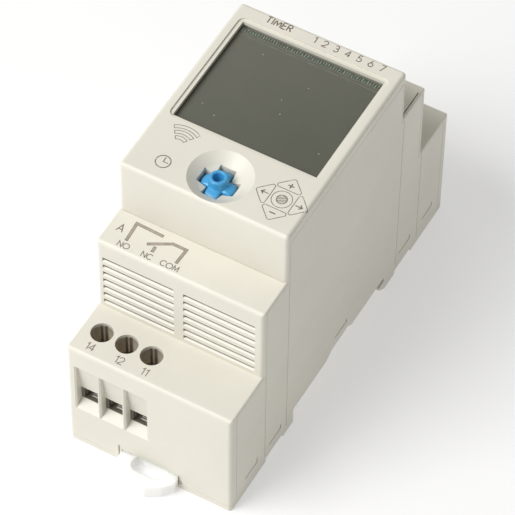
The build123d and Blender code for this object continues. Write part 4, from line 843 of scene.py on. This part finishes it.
# Along an arm: share of the way from the neck to its tip, and the rise above the arm's top
ARM_SLOPE = ((0.0, 0.32), (0.12, 0.27), (0.35, 0.22), (0.62, 0.12), (0.85, -0.04), (0.95, -0.18),
             (1.0, -0.38))
ARM_FOOT, ARM_FOOT_INSET = 0.12, 0.08


def rings_mesh(rings):
    """Rings of points joined by faces from each to the next, and the mesh's own rings of vertices."""
    mesh = bmesh.new()
    loops = [[mesh.verts.new(place) for place in places] for places in rings]
    for low, high in zip(loops, loops[1:]):
        for i in range(len(low)):
            j = (i + 1) % len(low)
            mesh.faces.new((low[i], low[j], high[j], high[i]))
    return mesh, loops


def joystick_cap_mesh():
    """Four domed arms that flow up into a hollow stub, about the CAD cap's middle."""
    middle = (cap_low + cap_high) / 2
    arm, half = (cap_high.x - cap_low.x) / 2 / MM, CAP_HALF_WIDTH
    top, floor = cap_high.z / MM, cap_low.z / MM
    arm_top = floor + CAP_PLATE
    tip_angle = math.asin(half / arm)
    angles = [2 * math.pi * i / CAP_SEGMENTS for i in range(CAP_SEGMENTS)]
    tips = []
    for angle in angles:
        fold = abs((angle + math.pi / 4) % (math.pi / 2) - math.pi / 4)
        tips.append(arm if fold <= tip_angle else half / math.sin(fold))

    # Radius and height of each point of each ring, from the stub's hole outwards and under
    stub = ((0.98, arm_top - 0.5), (1.04, top - 0.15), (1.12, top - 0.03), (1.38, top), (1.66, top - 0.06),
            (1.77, top - 0.26), (1.79, top - 0.8), (1.82, arm_top + 0.75), (1.9, arm_top + 0.35))
    rows = [[place] * CAP_SEGMENTS for place in stub]
    for share, rise in ARM_SLOPE:
        rows.append([(CAP_NECK + share * (tip - CAP_NECK),
                      arm_top + rise * min(1, CAP_SADDLE + (tip - CAP_NECK) / CAP_REACH)) for tip in tips])
    rows.append([(tip, floor + ARM_FOOT) for tip in tips])
    rows.append([(tip - ARM_FOOT_INSET, floor) for tip in tips])
    rows.append([(CAP_EYE, floor)] * CAP_SEGMENTS)

    mesh, loops = rings_mesh([
        [(middle.x + radius * MM * math.cos(angle), middle.y + radius * MM * math.sin(angle), z * MM)
         for angle, (radius, z) in zip(angles, row)] for row in rows])
    mesh.faces.new(loops[0])
    mesh.faces.new(reversed(loops[-1]))
    return mesh


def make_joystick_cap():
    """Stands for the CAD cap, with its edges blended."""
    cap = add_piece("joystick_cap_smooth", joystick_cap_mesh(), FINISHES["joystick_blue"],
                    "joystick_head")
    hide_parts("joystick_cap")
    for face in cap.data.polygons:
        face.use_smooth = len(face.vertices) == 4
    smooth = cap.modifiers.new("smooth", "SUBSURF")
    smooth.levels = smooth.render_levels = 1


# ---------------------------------------------------------------- terminals
SLEEVE_SEGMENTS = 144
SLEEVE_RINGS = ((0.6, 0.04), (0.72, 0.15), (5.15, 0.15))    # depth below the top, and gap to the bore
SLEEVE_WALL = 0.015
GROOVES = ((122, 6.5), (97, 7))  # middle and half width of each upright groove, in degrees
GROOVE_DEPTH = 0.1


def grooved(angle):
    """Whether an angle round the bore, in degrees, falls in a groove."""
    return any(abs(angle - middle) <= half for middle, half in GROOVES)


def sleeve_mesh(centre, top):
    """Thin liner of a bore, with two upright grooves as its second material, which paints the shade in them.
    """
    rings = []
    for depth, gap in SLEEVE_RINGS:
        places = []
        for i in range(SLEEVE_SEGMENTS):
            angle = 360 * i / SLEEVE_SEGMENTS
            deep = GROOVE_DEPTH if grooved(angle) and gap > GROOVE_DEPTH else 0
            radius = BORE_R - (gap - deep) * MM
            turn = math.radians(angle)
            places.append((centre.x + radius * math.cos(turn), centre.y + radius * math.sin(turn),
                           top - depth * MM))
        rings.append(places)
    mesh, _ = rings_mesh(rings)
    for number, face in enumerate(mesh.faces):
        face.material_index = grooved(360 * (number % SLEEVE_SEGMENTS + 0.5) / SLEEVE_SEGMENTS)
    return mesh


BLOCK_DEPTHS = (4.5, 0.8)        # the bores' colour changes between these depths below the top


def bore_shade_finish():
    """Brown-grey painted shade inside the bores, dark near the top and paler further down."""
    finish = Finish("bore_painted_shade")
    # Painted shade: dark browns for the shade in the bores, paler further down.
    height = finish.spread(finish.along("Z"), 0.0, 1.0, *(TERMINAL_Z - depth * MM for depth in BLOCK_DEPTHS))
    base = finish.tones(height, (0.0, (0.74, 0.65, 0.50)), (0.6, (0.46, 0.40, 0.31)),
                        (1.0, (0.30, 0.265, 0.21)))
    stains = finish.spread(finish.noise(0.8, detail=3), 0.0, 0.3, 0.4, 0.7)
    finish.colour(finish.mix(stains, base, (0.20, 0.175, 0.135)))
    finish.roughness(finish.spread(finish.noise(1.2), 0.5, 0.65))
    finish.bump(finish.noise(0.2), 0.008)
    return finish.material


def worn_zinc():
    """Dull zinc inside the clamps, nearly matt, with brown staining."""
    finish = Finish("worn_zinc", Metallic=0.1)
    stains = finish.noise(0.9, detail=4)
    finish.colour(finish.tones(stains, (0.3, (0.25, 0.225, 0.18)), (0.7, (0.36, 0.33, 0.275))))
    finish.roughness(finish.spread(stains, 0.4, 0.6))
    finish.bump(finish.noise(0.15), 0.008)
    return finish.material


def ridge_plating_glint():
    """Bright plating on the clamps' ridges, near white as part plating and part painted glint, dulled in
    spots.
    """
    finish = Finish("ridge_plating_glint", Metallic=0.4)
    spots = finish.noise(0.4, detail=3)
    # Near-white colour: part bright plating, part painted glint.
    finish.colour(finish.tones(spots, (0.3, (0.86, 0.84, 0.80)), (0.6, (0.97, 0.96, 0.93))))
    finish.roughness(finish.spread(spots, 0.25, 0.4))
    finish.bump(spots, 0.004)
    return finish.material


# Wire guides in the end walls' windows, and the clamps' pads: x from the terminal's middle, depths inwards
# from the end wall or the cage's front, and the slots' own heights
WINDOW_HALF, GUIDE_HALF, GUIDE_DEPTHS = 2.36, 1.75, (1.85, 2.56)
SLOT_LOW, SLOT_HIGH, SILL_THICKNESS = 12.01, 15.19, 0.06
PAD_HALF, PAD_DEPTHS, PAD_THICKNESS = 1.55, (0.02, 4.5), 0.06
PLINTH_X, PLINTH_DEPTHS, PLINTH_HEIGHT = (-0.85, 0.75), (0.2, 1.3), 0.26
RIDGE_X, RIDGE_DEPTHS, RIDGE_WIDTH, RIDGE_HEIGHT = (-0.8, 0.7), (0.28, 0.80), 0.24, 0.18
GUIDE_EDGE, RIDGE_EDGE = 0.02, 0.09
CAGE_FLOOR = 0.6                 # thickness of a cage's floor


def end_box(xs, depths, zs, mouth, side, cuts=1, mesh=None):
    """A block at a wire mouth: x and z limits in millimetres, depths inwards from the mouth's end wall."""
    ys = sorted(mouth.y - side * depth * MM for depth in depths)
    low = Vector((mouth.x + xs[0] * MM, ys[0], zs[0] * MM))
    return box_mesh(low, Vector((mouth.x + xs[1] * MM, ys[1], zs[1] * MM)), cuts, mesh)


def make_bore_shade_liner(name, place, block, groove):
    """A liner of painted shade in one screwdriver hole, its grooves in their own darker material of painted
    shade.
    """
    sleeve = add_piece(f"bore_shade_liner_{name}", sleeve_mesh(place, TERMINAL_Z), block)
    sleeve.data.materials.append(groove)
    wall = sleeve.modifiers.new("wall", "SOLIDIFY")
    wall.thickness, wall.offset = SLEEVE_WALL * MM, 0.0


def make_wire_entry(name, mouth, brown, zinc, plating_glint):
    """The guide in one window, coloured dark as painted shade, and the pad and ridges on its cage's floor."""
    side = math.copysign(1, mouth.y)
    cheek = (SLOT_LOW, SLOT_HIGH)
    guide = end_box((-WINDOW_HALF, -GUIDE_HALF), GUIDE_DEPTHS, cheek, mouth, side, 4)
    end_box((GUIDE_HALF, WINDOW_HALF), GUIDE_DEPTHS, cheek, mouth, side, 4, guide)
    sill = (SLOT_LOW, SLOT_LOW + SILL_THICKNESS)
    end_box((-GUIDE_HALF, GUIDE_HALF), GUIDE_DEPTHS, sill, mouth, side, 6, guide)
    soften(add_piece(f"wire_guide_{name}", guide, brown), GUIDE_EDGE)

    body = f"cage_{name}"
    cage_low, cage_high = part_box(body)
    floor = cage_low.z / MM + CAGE_FLOOR
    front = abs(mouth.y - (cage_low.y if side < 0 else cage_high.y)) / MM

    def on_floor(xs, depths, low, high, cuts, mesh=None):
        """A block over the cage's floor, its depths from the cage's front."""
        inwards = [front + depth for depth in depths]
        return end_box(xs, inwards, (floor + low, floor + high), mouth, side, cuts, mesh)

    pad = on_floor((-PAD_HALF, PAD_HALF), PAD_DEPTHS, 0, PAD_THICKNESS, 8)
    on_floor(PLINTH_X, PLINTH_DEPTHS, PAD_THICKNESS, PLINTH_HEIGHT, 4, pad)
    soften(add_piece(f"clamp_pad_{name}", pad, zinc, body), GUIDE_EDGE)
    ridge_top = PLINTH_HEIGHT + RIDGE_HEIGHT
    for number, depth in enumerate(RIDGE_DEPTHS):
        ridge = on_floor(RIDGE_X, (depth, depth + RIDGE_WIDTH), PLINTH_HEIGHT, ridge_top, 6)
        ridge = add_piece(f"clamp_ridge_{name}_{number}", ridge, plating_glint, body)
        soften(ridge, RIDGE_EDGE)


def make_terminals():
    """A liner, a guide, a pad and two ridges for every terminal."""
    # The bore liners and their grooves are coloured dark as painted shade.
    block, zinc, plating_glint = bore_shade_finish(), worn_zinc(), ridge_plating_glint()
    groove = moulded("bore_groove_shade", (0.16, 0.135, 0.10), rough=0.6).material
    # The guides' dark brown is painted shade of the windows' walls.
    brown = moulded("guide_painted_shade", (0.15, 0.135, 0.105), rough=0.55).material
    for name, place in BORES.items():
        make_bore_shade_liner(name, place, block, groove)
        make_wire_entry(name, WIRE_MOUTHS[name], brown, zinc, plating_glint)


# ---------------------------------------------------------------- the scene
bpy.context.scene.view_settings.view_transform = "Standard"
make_camera()
make_world()
for light in LIGHTS:
    make_light(*light)
make_floor()
dress_nodes()
print_marks()
make_display()
make_joystick_cap()
make_terminals()
